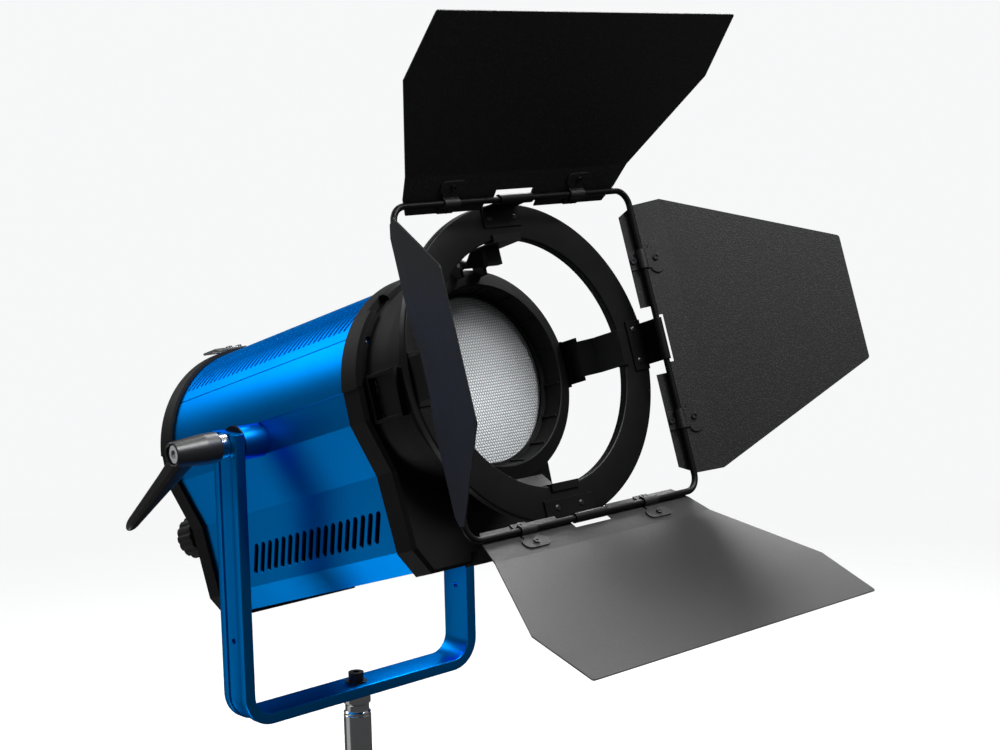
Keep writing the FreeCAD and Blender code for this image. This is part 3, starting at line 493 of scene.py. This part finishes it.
def pebbled_glass(colour, pitch):
    """Frosted moulded glass over a white cavity, with painted light: palest a little below and left of its middle
    as a painted glow of the lit cavity, darker towards the rim as painted shade, and painted shade in the creases
    between the pebbles.

    A point's distance to the nearest of two rectangular lattices, one half a step off the other, gives the
    hexagonal pebbles: one minus its square is the dome of each."""
    paint = Paint("frosted pebbled glass", IOR=1.5, Specular_IOR_Level=0.6, Coat_Weight=0.5,
                  Coat_Roughness=0.12)
    x, v = [paint.node("ShaderNodeVectorMath", {"operation": "DOT_PRODUCT"}, {
        0: paint.place, 1: tuple(axis)}, "Value") for axis in (SIDE, UP)]
    v = v - float(head(0.0, 0.0, OPTIC_V) @ UP)
    row = pitch * math.sqrt(3)
    spacings = []
    for shift in (0.0, 0.5):
        across, rising = [(value * (1 / step) - shift).off_centre() * step
                          for value, step in ((x, pitch), (v, row))]
        spacings.append(across * across + rising * rising)
    dome = (1.0 - spacings[0].least(spacings[1]) * (1 / (0.58 * pitch) ** 2)).clipped()
    # Painted glow and shade: brightest at a spot a little left of and 20 mm below the middle, darker towards the
    # rim.
    aside, below = x + 0.004, v + 0.02
    away = (aside * aside + below * below).root()
    painted_glow_falloff = paint.steps(away, 0.008, 0.085)
    frost = paint.noise(0.5, 2.0)
    face = paint.between(painted_glow_falloff, opaque(colour), shade(colour, 0.48))
    # Painted shade: the creases between the pebbles darkened, with a little frost noise of random tone.
    crease = paint.steps(dome, 0.85, 0.2).clipped()
    crease_shade_and_frost = (crease * 0.85 + frost * 0.1).clipped()
    paint.set("Base Color", paint.between(crease_shade_and_frost, face, shade(colour, 0.1)))
    paint.set("Roughness", 0.2 + frost * 0.12 + painted_glow_falloff * 0.12)
    paint.relief(dome + frost * 0.05, 0.5)
    return paint.material


def soft_rubber(colour):
    """Soft-touch knob rubber: dusty clouds, a very fine grain and a painted highlight along the edges."""
    paint = Paint("soft black rubber", Specular_IOR_Level=0.35)
    dust = paint.noise(6.0, 4.0)
    grain = paint.noise(0.25, 2.0)
    # Dust, and a painted highlight along the edges.
    pale = (dust * 0.5 + paint.edges(0.8) * 0.4).clipped()
    paint.set("Base Color", paint.between(pale, opaque(colour), shade(colour, 2.2)))
    paint.set("Roughness", 0.62 + dust * 0.15)
    paint.relief(grain, 0.03, 0.5)
    return paint.material


def gloss_plastic(colour):
    """Polished black plastic with faint swirls and a few specks of dust."""
    paint = Paint("polished black plastic", Specular_IOR_Level=0.6, Coat_Weight=0.4, Coat_Roughness=0.05)
    swirl = paint.noise(14.0, 3.0)
    dust = paint.steps(paint.noise(0.6, 1.0), 0.72, 0.78)
    paint.set("Base Color", paint.between(dust * 0.4, opaque(colour), shade(colour, 6.0)))
    paint.set("Roughness", 0.08 + swirl * 0.08 + dust * 0.3)
    paint.relief(swirl, 0.01, 0.4)
    return paint.material


def lamp_board(colour):
    """Yellow phosphor dots in a grid on a white ceramic board."""
    paint = Paint("phosphor and ceramic", Specular_IOR_Level=0.5)
    board = paint.steps(paint.cells(3.0), 0.25, 0.4)
    grain = paint.noise(0.3, 2.0)
    paint.set("Base Color", paint.between(board, opaque(colour), (0.8, 0.8, 0.78, 1)))
    paint.set("Roughness", 0.4 + grain * 0.2)
    paint.relief(grain, 0.02, 0.2)
    return paint.material


FINISHES = {}


def finish_of(slot):
    """The material made for one of the record's slots."""
    return FINISHES[slot]


# Settings

def colour_property(name, description, default):
    return bpy.props.FloatVectorProperty(
        name=name, description=description, default=default, subtype="COLOR", size=3, min=0.0, max=1.0)


def length_property(name, description, default_mm):
    return bpy.props.FloatProperty(
        name=name, description=description, default=default_mm * MM, min=0.0, unit="LENGTH",
        precision=5)


class SpotlightColours(bpy.types.PropertyGroup):
    """Colours of the lamp's finishes and of the stage."""

    blue: colour_property("Anodised blue", "Dye colour of the housing and the yoke", (0.003, 0.25, 0.74))
    # This colour also paints the highlight along the edges of the housing and yoke, and it tints their
    # reflections.
    blue_edge: colour_property("Blue edge", "Paler dye on worn edges", (0.004, 0.34, 0.92))
    coat: colour_property("Powder coat", "Barn door leaves", (0.002, 0.002, 0.0022))
    coat_speck: colour_property("Coat speck", "Paler specks in the powder coat", (0.034, 0.034, 0.035))
    plastic: colour_property("Moulded plastic", "Bezels and lens tube", (0.0018, 0.0018, 0.002))
    lever: colour_property("Lever", "Clamping lever's casting", (0.012, 0.012, 0.013))
    chrome: colour_property("Chrome", "Stand pin, lever collar and screws", (0.72, 0.73, 0.75))
    glass: colour_property("Lens", "Frosted lens over its white cavity", (0.9, 0.94, 0.97))
    phosphor: colour_property("Phosphor", "LED module's dots", (0.93, 0.75, 0.2))
    floor: colour_property("Floor", "Pale studio floor", (0.9, 0.9, 0.9))


class SpotlightSizes(bpy.types.PropertyGroup):
    """Sizes of details that the CAD frame leaves to the looks."""

    pebble: length_property("Pebble pitch", "Distance between the lens's pebbles", 3.1)
    pebble_height: length_property("Pebble height", "How far each pebble stands out", 0.4)
    sheet: length_property("Leaf sheet", "Thickness of a barn door leaf", 1.2)
    crease_radius: length_property("Crease radius", "Bend radius across a leaf", 4.0)
    floor_drop: length_property("Floor drop", "How far the floor is below the pin's shoulder", 620.0)


def colours():
    return bpy.context.scene.spotlight_colours


def sizes():
    return bpy.context.scene.spotlight_sizes


LENS_LOW, LENS_HIGH = span("fresnel_lens")
LENS_FACE_S = LENS_HIGH[1]
LENS_R = (LENS_HIGH[0] - LENS_LOW[0]) / 2


class SPOTLIGHT_OT_finishes(bpy.types.Operator):
    """Make the materials and lay them on the CAD pieces by their record slots"""

    bl_idname = "spotlight.finishes"
    bl_label = "Finishes"

    def execute(self, context):
        tone = colours()
        FINISHES.update({
            "blue_anodised": anodised_blue(tone.blue, tone.blue_edge),
            "black_textured_plastic": moulded_plastic(tone.plastic),
            "black_powder_coat": powder_coat(tone.coat, tone.coat_speck),
            "satin_ring": satin_paint(tone.coat),
            "black_lever": lever_black(tone.lever),
            "bright_steel": metal("bright plating", tone.chrome, 0.1, 0.5, 0.003),
            "dark_steel": metal("black oxide steel", (0.06, 0.06, 0.065), 0.32, 0.5, 0.01),
            "spring_steel": metal("drawn spring wire", (0.45, 0.46, 0.48), 0.25, 0.4, 0.006),
            "bare_aluminium": metal("machined aluminium", (0.62, 0.63, 0.65), 0.3, 0.6, 0.01),
            "lens_glass": pebbled_glass(tone.glass, sizes().pebble),
            "black_nylon": moulded_plastic(tone.plastic, 0.03),
            "soft_knob": soft_rubber(tone.plastic),
            "gloss_black": gloss_plastic(tone.plastic),
            "contact_metal": metal("gold-plated contacts", (0.7, 0.5, 0.2), 0.2, 0.4, 0.004),
            "led_phosphor": lamp_board(tone.phosphor),
        })
        slots = {part["node"]: part["material_slot"] for part in frame["record"]["subparts"]}
        slots.update({name: "satin_ring" for name in ("ring_brackets", "ring_tabs", "top_latch")})
        for name, node in frame["nodes"].items():
            node.data.materials.clear()
            node.data.materials.append(finish_of(slots[name]))
        return {"FINISHED"}


# Stage

CAMERA_SPOT = (-1.2043, -1.5182, 0.6335)
CAMERA_AZIMUTH, CAMERA_ELEVATION, CAMERA_ROLL = -43.04, 8.389, -1.313
CAMERA_LENS = 69.5
# Each softbox's name, place, width and height in metres, and its power in watts
SOFTBOXES = (
    ("key_softbox", (0.5, -1.3, 2.2), 1.2, 1.0, 80.0),
    ("rear_left_softbox", (-0.7, 2.3, 1.6), 1.7, 1.0, 20.0),
    ("right_rear_softbox", (1.9, 0.9, 2.1), 1.2, 1.2, 64.0),
    ("low_left_softbox", (-2.0, 1.6, -0.7), 1.8, 1.4, 3.0),
    ("under_left_softbox", (-1.3, 0.9, -1.9), 1.2, 1.2, 12.0),
    ("left_softbox", (-2.2, -0.4, 1.1), 0.7, 1.2, 4.0),
)


def camera_axes():
    """Right, up and back vectors of the camera from its azimuth, elevation and roll."""
    azimuth, elevation, roll = np.radians([CAMERA_AZIMUTH, CAMERA_ELEVATION, CAMERA_ROLL])
    level = np.cos(elevation)
    back = np.array([np.sin(azimuth) * level, -np.cos(azimuth) * level, np.sin(elevation)])
    right = np.array([np.cos(azimuth), np.sin(azimuth), 0.0])
    up = np.cross(back, right)
    return (right * np.cos(roll) + up * np.sin(roll), up * np.cos(roll) - right * np.sin(roll), back)


def area_light(name, spot, target, width, height, watts):
    """A soft rectangular lamp at a spot, facing a target."""
    data = bpy.data.lights.new(name, "AREA")
    data.shape = "RECTANGLE"
    data.size = width
    data.size_y = height
    data.energy = watts
    lamp = bpy.data.objects.new(name, data)
    bpy.context.scene.collection.objects.link(lamp)
    back = np.array(spot, float) - np.array(target, float)
    back /= np.linalg.norm(back)
    right = np.cross((0.0, 0.0, 1.0), back)
    right = right / np.linalg.norm(right) if np.linalg.norm(right) > 1e-6 else np.array([1.0, 0, 0])
    up = np.cross(back, right)
    lamp.matrix_world = Matrix([(right[k], up[k], back[k], spot[k]) for k in range(3)] + [(0, 0, 0, 1)])
    return lamp


def pale_floor(colour, height):
    """A wide disc that fades into the pale surroundings: alpha falls from 1 to 0 with the distance out."""
    radius = np.array([0.6, 1.2, 2.0, 3.0, 4.5])[:, None] / MM
    angle = np.linspace(0, 2 * math.pi, 96, endpoint=False)[None]
    points = straight(radius * np.cos(angle), radius * np.sin(angle), height)
    floor = Shell().grid(points, wrap=(False, True), caps=(True, False)).build("studio_floor", closed=False)
    paint = Paint("pale studio floor", Specular_IOR_Level=0.2, Emission_Color=opaque(colour),
                  Emission_Strength=0.62)
    mottle = paint.noise(40.0, 3.0)
    paint.set("Base Color", paint.between(mottle, shade(colour, 0.72), shade(colour, 0.75)))
    paint.set("Roughness", 0.7 + mottle * 0.1)
    away = paint.node("ShaderNodeVectorMath", {"operation": "LENGTH"}, {0: paint.place}, "Value")
    paint.set("Alpha", paint.steps(away, 4.2, 1.4))
    floor.data.materials.append(paint.material)
    floor.visible_diffuse = False
    floor.visible_glossy = False
    floor.visible_shadow = False
    return floor


def studio_world():
    """A pale surrounding for the camera, and for everything else a softer one that is brighter overhead."""
    world = bpy.data.worlds.new("studio")
    world.use_nodes = True
    bpy.context.scene.world = world
    nodes, links = world.node_tree.nodes, world.node_tree.links
    nodes.clear()
    path = nodes.new("ShaderNodeLightPath")
    place = nodes.new("ShaderNodeTexCoord")
    split = nodes.new("ShaderNodeSeparateXYZ")
    ramp = nodes.new("ShaderNodeValToRGB")
    seen = nodes.new("ShaderNodeBackground")
    felt = nodes.new("ShaderNodeBackground")
    mix = nodes.new("ShaderNodeMixShader")
    out = nodes.new("ShaderNodeOutputWorld")
    stops = ((0.0, 0.05), (0.44, 0.08), (0.6, 0.13), (1.0, 0.36))
    while len(ramp.color_ramp.elements) < len(stops):
        ramp.color_ramp.elements.new(0.5)
    for element, (position, grey) in zip(ramp.color_ramp.elements, stops):
        element.position = position
        element.color = (grey, grey, grey, 1.0)
    lift = nodes.new("ShaderNodeMapRange")
    lift.inputs["From Min"].default_value = -1.0
    seen.inputs["Color"].default_value = (0.93, 0.935, 0.94, 1.0)
    links.new(place.outputs["Generated"], split.inputs[0])
    links.new(split.outputs["Z"], lift.inputs["Value"])
    links.new(lift.outputs[0], ramp.inputs[0])
    links.new(ramp.outputs[0], felt.inputs["Color"])
    links.new(path.outputs["Is Camera Ray"], mix.inputs[0])
    links.new(felt.outputs[0], mix.inputs[1])
    links.new(seen.outputs[0], mix.inputs[2])
    links.new(mix.outputs[0], out.inputs[0])


class SPOTLIGHT_OT_stage(bpy.types.Operator):
    """Lay the pale floor and surroundings, hang the soft lights and set the camera"""

    bl_idname = "spotlight.stage"
    bl_label = "Stage"

    def execute(self, context):
        scene = context.scene
        scene.view_settings.view_transform = "Standard"
        studio_world()
        pale_floor(colours().floor, -sizes().floor_drop / MM)
        for name, spot, width, height, watts in SOFTBOXES:
            area_light(name, spot, tuple(PIVOT * MM), width, height, watts)
        data = bpy.data.cameras.new("camera")
        data.lens = CAMERA_LENS
        data.clip_end = 50.0
        camera = bpy.data.objects.new("camera", data)
        scene.collection.objects.link(camera)
        right, up, back = camera_axes()
        rows = [(right[k], up[k], back[k], CAMERA_SPOT[k]) for k in range(3)]
        camera.matrix_world = Matrix(rows + [(0, 0, 0, 1)])
        scene.camera = camera
        return {"FINISHED"}


# Yoke and stand pin

PIVOT_HOLE_R, BAR_HOLE_R = 5.2, 6.3
ARM_HOLE_R, ARM_HOLE_HEIGHT = 3.0, 107.0


class SPOTLIGHT_OT_yoke(bpy.types.Operator):
    """Bend the yoke's grooved strap and turn the stand pin under it"""

    bl_idname = "spotlight.yoke"
    bl_label = "Yoke and stand pin"

    def execute(self, context):
        low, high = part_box("yoke_bracket")
        half, top, floor = high.x / MM, high.z / MM, low.z / MM
        wide = (high.y - low.y) / MM
        thick, bend, groove, deep = 11.6, 32.0, 20.0, 1.6
        middle = half - thick / 2
        bar = floor + thick / 2
        corners = [(-middle, 0, top), (-middle, 0, bar), (middle, 0, bar), (middle, 0, top)]
        path = rounded(corners, bend - thick / 2, 16, closed=False) * MM
        outer, edge, lip = thick / 2, 1.3, 0.5
        section = rounded(
            [(outer, -wide / 2), (outer, -groove / 2), (outer - deep, -groove / 2),
             (outer - deep, groove / 2), (outer, groove / 2), (outer, wide / 2), (-outer, wide / 2),
             (-outer, -wide / 2)],
            (edge, lip, 0.4, 0.4, lip, edge, edge, edge), 4) * MM
        strap = Shell().grid(swept(path, section, (0, 1, 0), False), wrap=(False, True), caps=(True, True))
        yoke = strap.build("yoke_strap")
        cutters = []
        for height, radius in ((PIVOT[2], PIVOT_HOLE_R), (ARM_HOLE_HEIGHT, ARM_HOLE_R)):
            profile = np.array([(radius, -half - 5), (radius, half + 5)])
            tube = turned(profile, 40, lambda a, along, b, z=height: straight(along, a, z + b))
            cutters.append(Shell().grid(tube, (False, True), (True, True)).build("bore_cutter"))
        profile = np.array([(BAR_HOLE_R, floor - 5), (BAR_HOLE_R, floor + thick + 5)])
        tube = turned(profile, 40, lambda a, along, b: straight(a, b, along))
        cutters.append(Shell().grid(tube, (False, True), (True, True)).build("bore_cutter"))
        bevelled(bored(yoke, cutters), 0.35, 50.0, 2)
        finished(yoke, "yoke", "blue_anodised", finish_of("blue_anodised"), "yoke_bracket")

        pin_low, pin_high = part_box("stand_spigot")
        radius, foot, shoulder = pin_high.x / MM, pin_low.z / MM, pin_high.z / MM
        profile = rounded(
            [(0.01, foot), (radius - 1.2, foot), (radius, foot + 2.4), (radius, -3.0), (radius - 0.7, -2.2),
             (radius - 0.7, -0.8), (radius, 0), (radius - 1.9, 2.0), (radius - 1.9, 8.5), (radius, 10.5),
             (radius, shoulder), (0.01, shoulder)],
            (0, 0.6, 0.6, 0.2, 0.2, 0.2, 0.3, 0.8, 0.8, 0.3, 0.6, 0), 4)
        pin = Shell().grid(turned(profile, 72, lambda a, along, b: straight(a, b, along)),
                           (False, True), (True, True)).build("stand_pin_chrome")
        finished(pin, "yoke", "bright_steel", finish_of("bright_steel"), "stand_spigot")
        return {"FINISHED"}


# Clamping lever

class SPOTLIGHT_OT_lever(bpy.types.Operator):
    """Cast the clamping lever: a hub and a tapering arm grown into one skin"""

    bl_idname = "spotlight.lever"
    bl_label = "Clamping lever"

    def execute(self, context):
        low, high = span("lever_handle")
        start = high[0]
        end, neck = -212.0, start - 16.0
        hub = rounded(
            [(7.2, start), (14.6, start), (15.0, start - 1.5), (15.0, neck), (11.7, end), (9.7, end),
             (9.7, end + 18.8), (7.2, end + 18.8)],
            (0.3, 0.8, 0.8, 3.0, 1.4, 0.4, 0.4, 0.3), 4)
        shell = Shell().grid(turned(hub, 72, lambda a, along, b: head(along, a, b)), (True, True))
        root, tip = np.array([-192.0, 0.0, 0.0]), np.array([-225.0, -84.0, -57.0])
        along = (tip - root) / np.linalg.norm(tip - root)
        across = np.cross(along, (1.0, 0.0, 0.0))
        across /= np.linalg.norm(across)
        normal = np.cross(along, across)
        tip_share = 0.9 + 0.1 * np.sin(np.linspace(0.12, 1.0, 9) * math.pi / 2)
        share = np.concatenate([np.linspace(0.06, 0.9, 18), tip_share])
        round_off = np.sqrt(np.clip(1 - ((share - 0.9) / 0.1001).clip(0, 1) ** 2, 0.0, 1))
        half_wide = np.interp(share, (0, 0.35, 1), (9.0, 7.5, 5.0)) * round_off
        half_thick = np.interp(share, (0, 0.35, 1), (14.0, 9.5, 4.0)) * round_off
        angle = np.linspace(0, 2 * math.pi, 48, endpoint=False)[None]
        reach = np.maximum(np.abs(np.cos(angle)), np.abs(np.sin(angle)))
        reach = np.maximum(reach, (np.abs(np.cos(angle)) + np.abs(np.sin(angle))) / 1.55)
        a = np.cos(angle) / reach * half_wide[:, None]
        b = np.sin(angle) / reach * half_thick[:, None]
        spine = root + (tip - root) * share[:, None]
        points = spine[:, None] + a[..., None] * across + b[..., None] * normal
        shell.grid(head(points[..., 0], points[..., 1], points[..., 2]), (False, True), (True, True))
        lever = shell.build("clamp_lever")
        skin = lever.modifiers.new("one skin", "REMESH")
        skin.mode = "VOXEL"
        skin.voxel_size = 0.6 * MM
        skin.use_smooth_shade = True
        soften = lever.modifiers.new("cast fillets", "SMOOTH")
        soften.iterations = 3
        applied(lever)
        lever.data.shade_smooth()
        finished(lever, "clamp_handle", "black_lever", finish_of("black_lever"), "lever_handle")
        return {"FINISHED"}


# Rear controls

def fluted(profile, flutes, depth, place, centre):
    """A closed (radius, height) profile turned about an axis, its outer wall dipping in rounded flutes.

    The dip is the depth times the sixth power of a cosine with as many waves as flutes; a third number in
    the profile gives the share of it that each point takes."""
    angle = np.linspace(0, 2 * math.pi, flutes * 16, endpoint=False)[None]
    dip = depth * np.abs(np.cos(angle * flutes / 2)) ** 6
    radius = profile[:, 0, None] - profile[:, 2, None] * dip
    height = profile[:, 1, None] + 0 * angle
    return place(centre[0] + radius * np.cos(angle), height, centre[1] + radius * np.sin(angle))


class SPOTLIGHT_OT_knobs(bpy.types.Operator):
    """Turn the fluted focus knob"""

    bl_idname = "spotlight.knobs"
    bl_label = "Focus knob"

    def execute(self, context):
        low, high = span("focus_knob")
        radius = (high[0] - low[0]) / 2
        centre = ((high[0] + low[0]) / 2, (high[2] + low[2]) / 2)
        back, front, spindle = low[1], low[1] + 27.0, high[1]
        profile = rounded(
            [(0.01, back + 1.2, 0), (radius - 6.5, back + 1.2, 0), (radius - 5.5, back, 0),
             (radius - 2.0, back, 0.6), (radius, back + 3.0, 1), (radius, front, 1),
             (radius - 2.0, front, 0.6), (9.0, front, 0), (9.0, spindle, 0), (0.01, spindle, 0)],
            (0, 0.4, 0.5, 0.8, 1.4, 0.9, 0.5, 0.3, 0.3, 0), 4)
        points = fluted(profile, 15, 1.5, head, centre)
        knob = Shell().grid(points, (False, True), (True, True)).build("focus_knob_grip")
        finished(knob, "focus_drive", "soft_knob", finish_of("soft_knob"), "focus_knob")
        return {"FINISHED"}


# Lens

class SPOTLIGHT_OT_lens(bpy.types.Operator):
    """Mould the pebbled lens"""

    bl_idname = "spotlight.lens"
    bl_label = "Lens"

    def execute(self, context):
        pitch, rise = sizes().pebble / MM, sizes().pebble_height / MM
        edge = 79.0
        radius = np.concatenate([np.linspace(0.4, edge, 124), [edge + 0.4, LENS_R]])[:, None]
        angle = np.linspace(0, 2 * math.pi, 720, endpoint=False)[None]
        x, v = radius * np.cos(angle), radius * np.sin(angle)
        row = pitch * math.sqrt(3) / 2
        nearest = np.full(x.shape, 1e9)
        for shift in (0.0, 0.5):
            near_v = (np.round(v / (2 * row) - shift) + shift) * 2 * row
            near_x = (np.round(x / pitch - shift) + shift) * pitch
            nearest = np.minimum(nearest, np.hypot(x - near_x, v - near_v))
        pebble = rise * (1 - (nearest / (pitch * 0.58)) ** 2).clip(0, 1)
        crown = 3.2 * (1 - (radius / edge).clip(0, 1) ** 2)
        face = LENS_FACE_S - 4.2 + crown + pebble * (radius < edge)
        back = np.array([(LENS_R, LENS_LOW[1] + 0.4), (LENS_R - 0.4, LENS_LOW[1]), (0.4, LENS_LOW[1])])
        front = head(x, face, OPTIC_V + v)
        rear = head(back[:, :1] * np.cos(angle), back[:, 1:], OPTIC_V + back[:, :1] * np.sin(angle))
        shell = Shell().grid(np.concatenate([front, rear]), (False, True), (True, True))
        lens = shell.build("pebbled_lens", sharp_deg=60.0)
        finished(lens, "head", "lens_glass", finish_of("lens_glass"), "fresnel_lens")
        return {"FINISHED"}


# Barn door

class SPOTLIGHT_OT_ring(bpy.types.Operator):
    """Roll the accessory ring and bend the square wire frame"""

    bl_idname = "spotlight.ring"
    bl_label = "Ring and wire frame"

    def execute(self, context):
        low, high = span("barndoor_ring")
        outer = (high[0] - low[0]) / 2
        back, front = low[1], high[1]
        inner, wall = outer - 33.0, 1.5
        profile = rounded(
            [(inner, back), (inner + wall, back), (inner + wall, front - wall),
             (outer - wall, front - wall), (outer - wall, back), (outer, back), (outer, front),
             (inner, front)],
            (0.3, 0.3, 0.8, 0.8, 0.3, 0.3, 1.6, 1.6), 5)
        points = turned(profile, 192, head, (0.0, OPTIC_V))
        ring = Shell().grid(points, (True, True)).build("accessory_ring")
        finished(ring, "barndoor", "black_powder_coat", finish_of("satin_ring"), "barndoor_ring")

        low, high = span("rod_frame")
        wire = (high[1] - low[1]) / 2
        rod_s, half = (high[1] + low[1]) / 2, (high[0] - low[0]) / 2 - wire
        square = rounded([(-half, -half), (half, -half), (half, half), (-half, half)], 15.0, 14)
        path = np.stack([square[:, 0], np.zeros(len(square)), square[:, 1]], -1)
        dense = swept(path, circle(wire, 28), (0, 1, 0), True)
        points = head(dense[..., 0], rod_s + dense[..., 1], OPTIC_V + dense[..., 2])
        frame_wire = Shell().grid(points, (True, True)).build("square_wire")
        finished(frame_wire, "barndoor", "black_powder_coat", finish_of("satin_ring"), "rod_frame")
        return {"FINISHED"}


LEAF_SIDES = {"top": (0.0, 47.0, True, 6.0), "bottom": (180.0, 46.0, True, 6.0),
              "right": (90.0, 32.0, False, 1.5), "left": (-90.0, 57.0, False, 1.5)}
ROD_R = 3.0
SLOT_HALF, SLOT_TOP = 23.0, 8.0
NOTCH_HALF, NOTCH_TOP, STRIP_BACK = 32.5, -1.5, -12.0


def leaf_half_width(out, wide):
    """Half of the leaf's width at each distance out from the rod, with its outer corners eased."""
    if wide:
        edge = np.interp(out, (-12, 4, 27, 126, 193), (122, 131, 137, 185, 181))
        far = 193.0
    else:
        edge = np.interp(out, (-12, 4, 31, 197), (122, 131, 132, 61))
        far = 197.0
    ease = 2.2
    inside = (out - (far - ease)).clip(0, ease)
    return edge - (ease - np.sqrt(ease ** 2 - inside ** 2))


def leaf_grid(wide, crease_deg, crease_radius, sheet):
    """A leaf's middle surface as (along the rod, out, towards the beam) arrays, and the mask of its cells.

    The heading turns by the crease angle over an arc at the crease; out and height are its running sums."""
    crease, far = (27.0, 193.0) if wide else (31.0, 197.0)
    arc = max(crease_radius * math.radians(crease_deg), 0.6)
    travel = np.unique(np.concatenate([
        np.linspace(STRIP_BACK, NOTCH_TOP, 4), np.linspace(NOTCH_TOP, 4, 3), np.linspace(4, SLOT_TOP, 3),
        np.linspace(SLOT_TOP, crease - arc, 6),
        np.linspace(crease - arc / 2, crease + arc / 2, 9), np.linspace(crease + arc, 124, 14),
        np.linspace(124, 128, 5), np.linspace(128, far - 2.2, 12),
        far - 2.2 + 2.2 * np.sin(np.linspace(0, 1, 7) * math.pi / 2)]).round(4))
    heading = ((travel - crease) / arc + 0.5).clip(0, 1) * math.radians(crease_deg)
    step = np.diff(travel, prepend=travel[0])
    mean = np.concatenate([[0], (heading[1:] + heading[:-1]) / 2])
    out = travel[0] + np.cumsum(step * np.cos(mean))
    rise = np.cumsum(step * np.sin(mean)) - (ROD_R + 0.4 + sheet / 2)
    half = leaf_half_width(travel, wide)[:, None]
    share = np.concatenate([np.linspace(0, 0.19, 5), [0.235], np.linspace(0.28, 1, 21)])
    share = np.concatenate([-share[:0:-1], share])[None]
    near = np.interp(np.abs(share), (0, 0.19, 0.28), (0, SLOT_HALF, NOTCH_HALF))
    beyond = NOTCH_HALF + (np.abs(share) - 0.28) / 0.72 * (half - NOTCH_HALF)
    along = np.sign(share) * np.where(np.abs(share) <= 0.28, near, beyond)
    cell_out = (travel[1:] + travel[:-1]) / 2
    cell_share = (share[0, 1:] + share[0, :-1]) / 2
    column = np.abs(cell_share)[None]
    slot = (cell_out[:, None] < SLOT_TOP) & (column < 0.19)
    keep = ~(slot | (cell_out[:, None] < NOTCH_TOP) & (column < 0.28))
    return along, out[:, None] + 0 * along, rise[:, None] + 0 * along, keep


def on_side(x, s, w, angle_deg):
    """Points drawn at the top of the beam's axis, turned round it by the angle."""
    angle = math.radians(angle_deg)
    return head(x * math.cos(angle) + w * math.sin(angle), s,
                OPTIC_V - x * math.sin(angle) + w * math.cos(angle))


class SPOTLIGHT_OT_leaves(bpy.types.Operator):
    """Cut and crease the four leaves of the barn door"""

    bl_idname = "spotlight.leaves"
    bl_label = "Barn door leaves"

    def execute(self, context):
        low, high = span("rod_frame")
        rod_s, half = (high[1] + low[1]) / 2, (high[0] - low[0]) / 2 - ROD_R
        sheet = sizes().sheet / MM
        for side, (angle, open_deg, wide, crease_deg) in LEAF_SIDES.items():
            along, out, rise, keep = leaf_grid(wide, crease_deg, sizes().crease_radius / MM, sheet)
            turn = math.radians(open_deg)
            s = rod_s + out * math.sin(turn) + rise * math.cos(turn)
            w = half + out * math.cos(turn) - rise * math.sin(turn)
            sheet_grid = Shell().grid(on_side(along, s, w, angle), keep=keep)
            leaf = sheet_grid.build(side + "_leaf_sheet", closed=False)
            thickened(leaf, sheet)
            bevelled(leaf, 0.35, 50.0)
            finish = finish_of("black_powder_coat")
            finished(leaf, side + "_leaf", "black_powder_coat", finish, side + "_leaf")
        return {"FINISHED"}


# Panel and registration

class SPOTLIGHT_PT_panel(bpy.types.Panel):
    """Lists the settings and the steps that build the lamp"""

    bl_idname = "SPOTLIGHT_PT_panel"
    bl_label = "Fresnel spotlight"
    bl_space_type = "VIEW_3D"
    bl_region_type = "UI"
    bl_category = "Spotlight"

    def draw(self, context):
        layout = self.layout
        for group in (context.scene.spotlight_colours, context.scene.spotlight_sizes):
            for name in group.bl_rna.properties.keys():
                if name not in ("rna_type", "name"):
                    layout.prop(group, name)
        for operator in OPERATORS:
            layout.operator(operator.bl_idname)


OPERATORS = (
    SPOTLIGHT_OT_stage,
    SPOTLIGHT_OT_finishes,
    SPOTLIGHT_OT_yoke,
    SPOTLIGHT_OT_lever,
    SPOTLIGHT_OT_knobs,
    SPOTLIGHT_OT_lens,
    SPOTLIGHT_OT_ring,
    SPOTLIGHT_OT_leaves,
)
CLASSES = (SpotlightColours, SpotlightSizes) + OPERATORS + (SPOTLIGHT_PT_panel,)


def register():
    for item in CLASSES:
        bpy.utils.register_class(item)
    bpy.types.Scene.spotlight_colours = bpy.props.PointerProperty(type=SpotlightColours)
    bpy.types.Scene.spotlight_sizes = bpy.props.PointerProperty(type=SpotlightSizes)


def unregister():
    del bpy.types.Scene.spotlight_sizes
    del bpy.types.Scene.spotlight_colours
    for item in reversed(CLASSES):
        bpy.utils.unregister_class(item)


def main():
    """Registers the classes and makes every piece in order."""
    register()
    for operator in OPERATORS:
        group, step = operator.bl_idname.split(".")
        getattr(getattr(bpy.ops, group), step)()


if __name__ == "__main__":
    main()
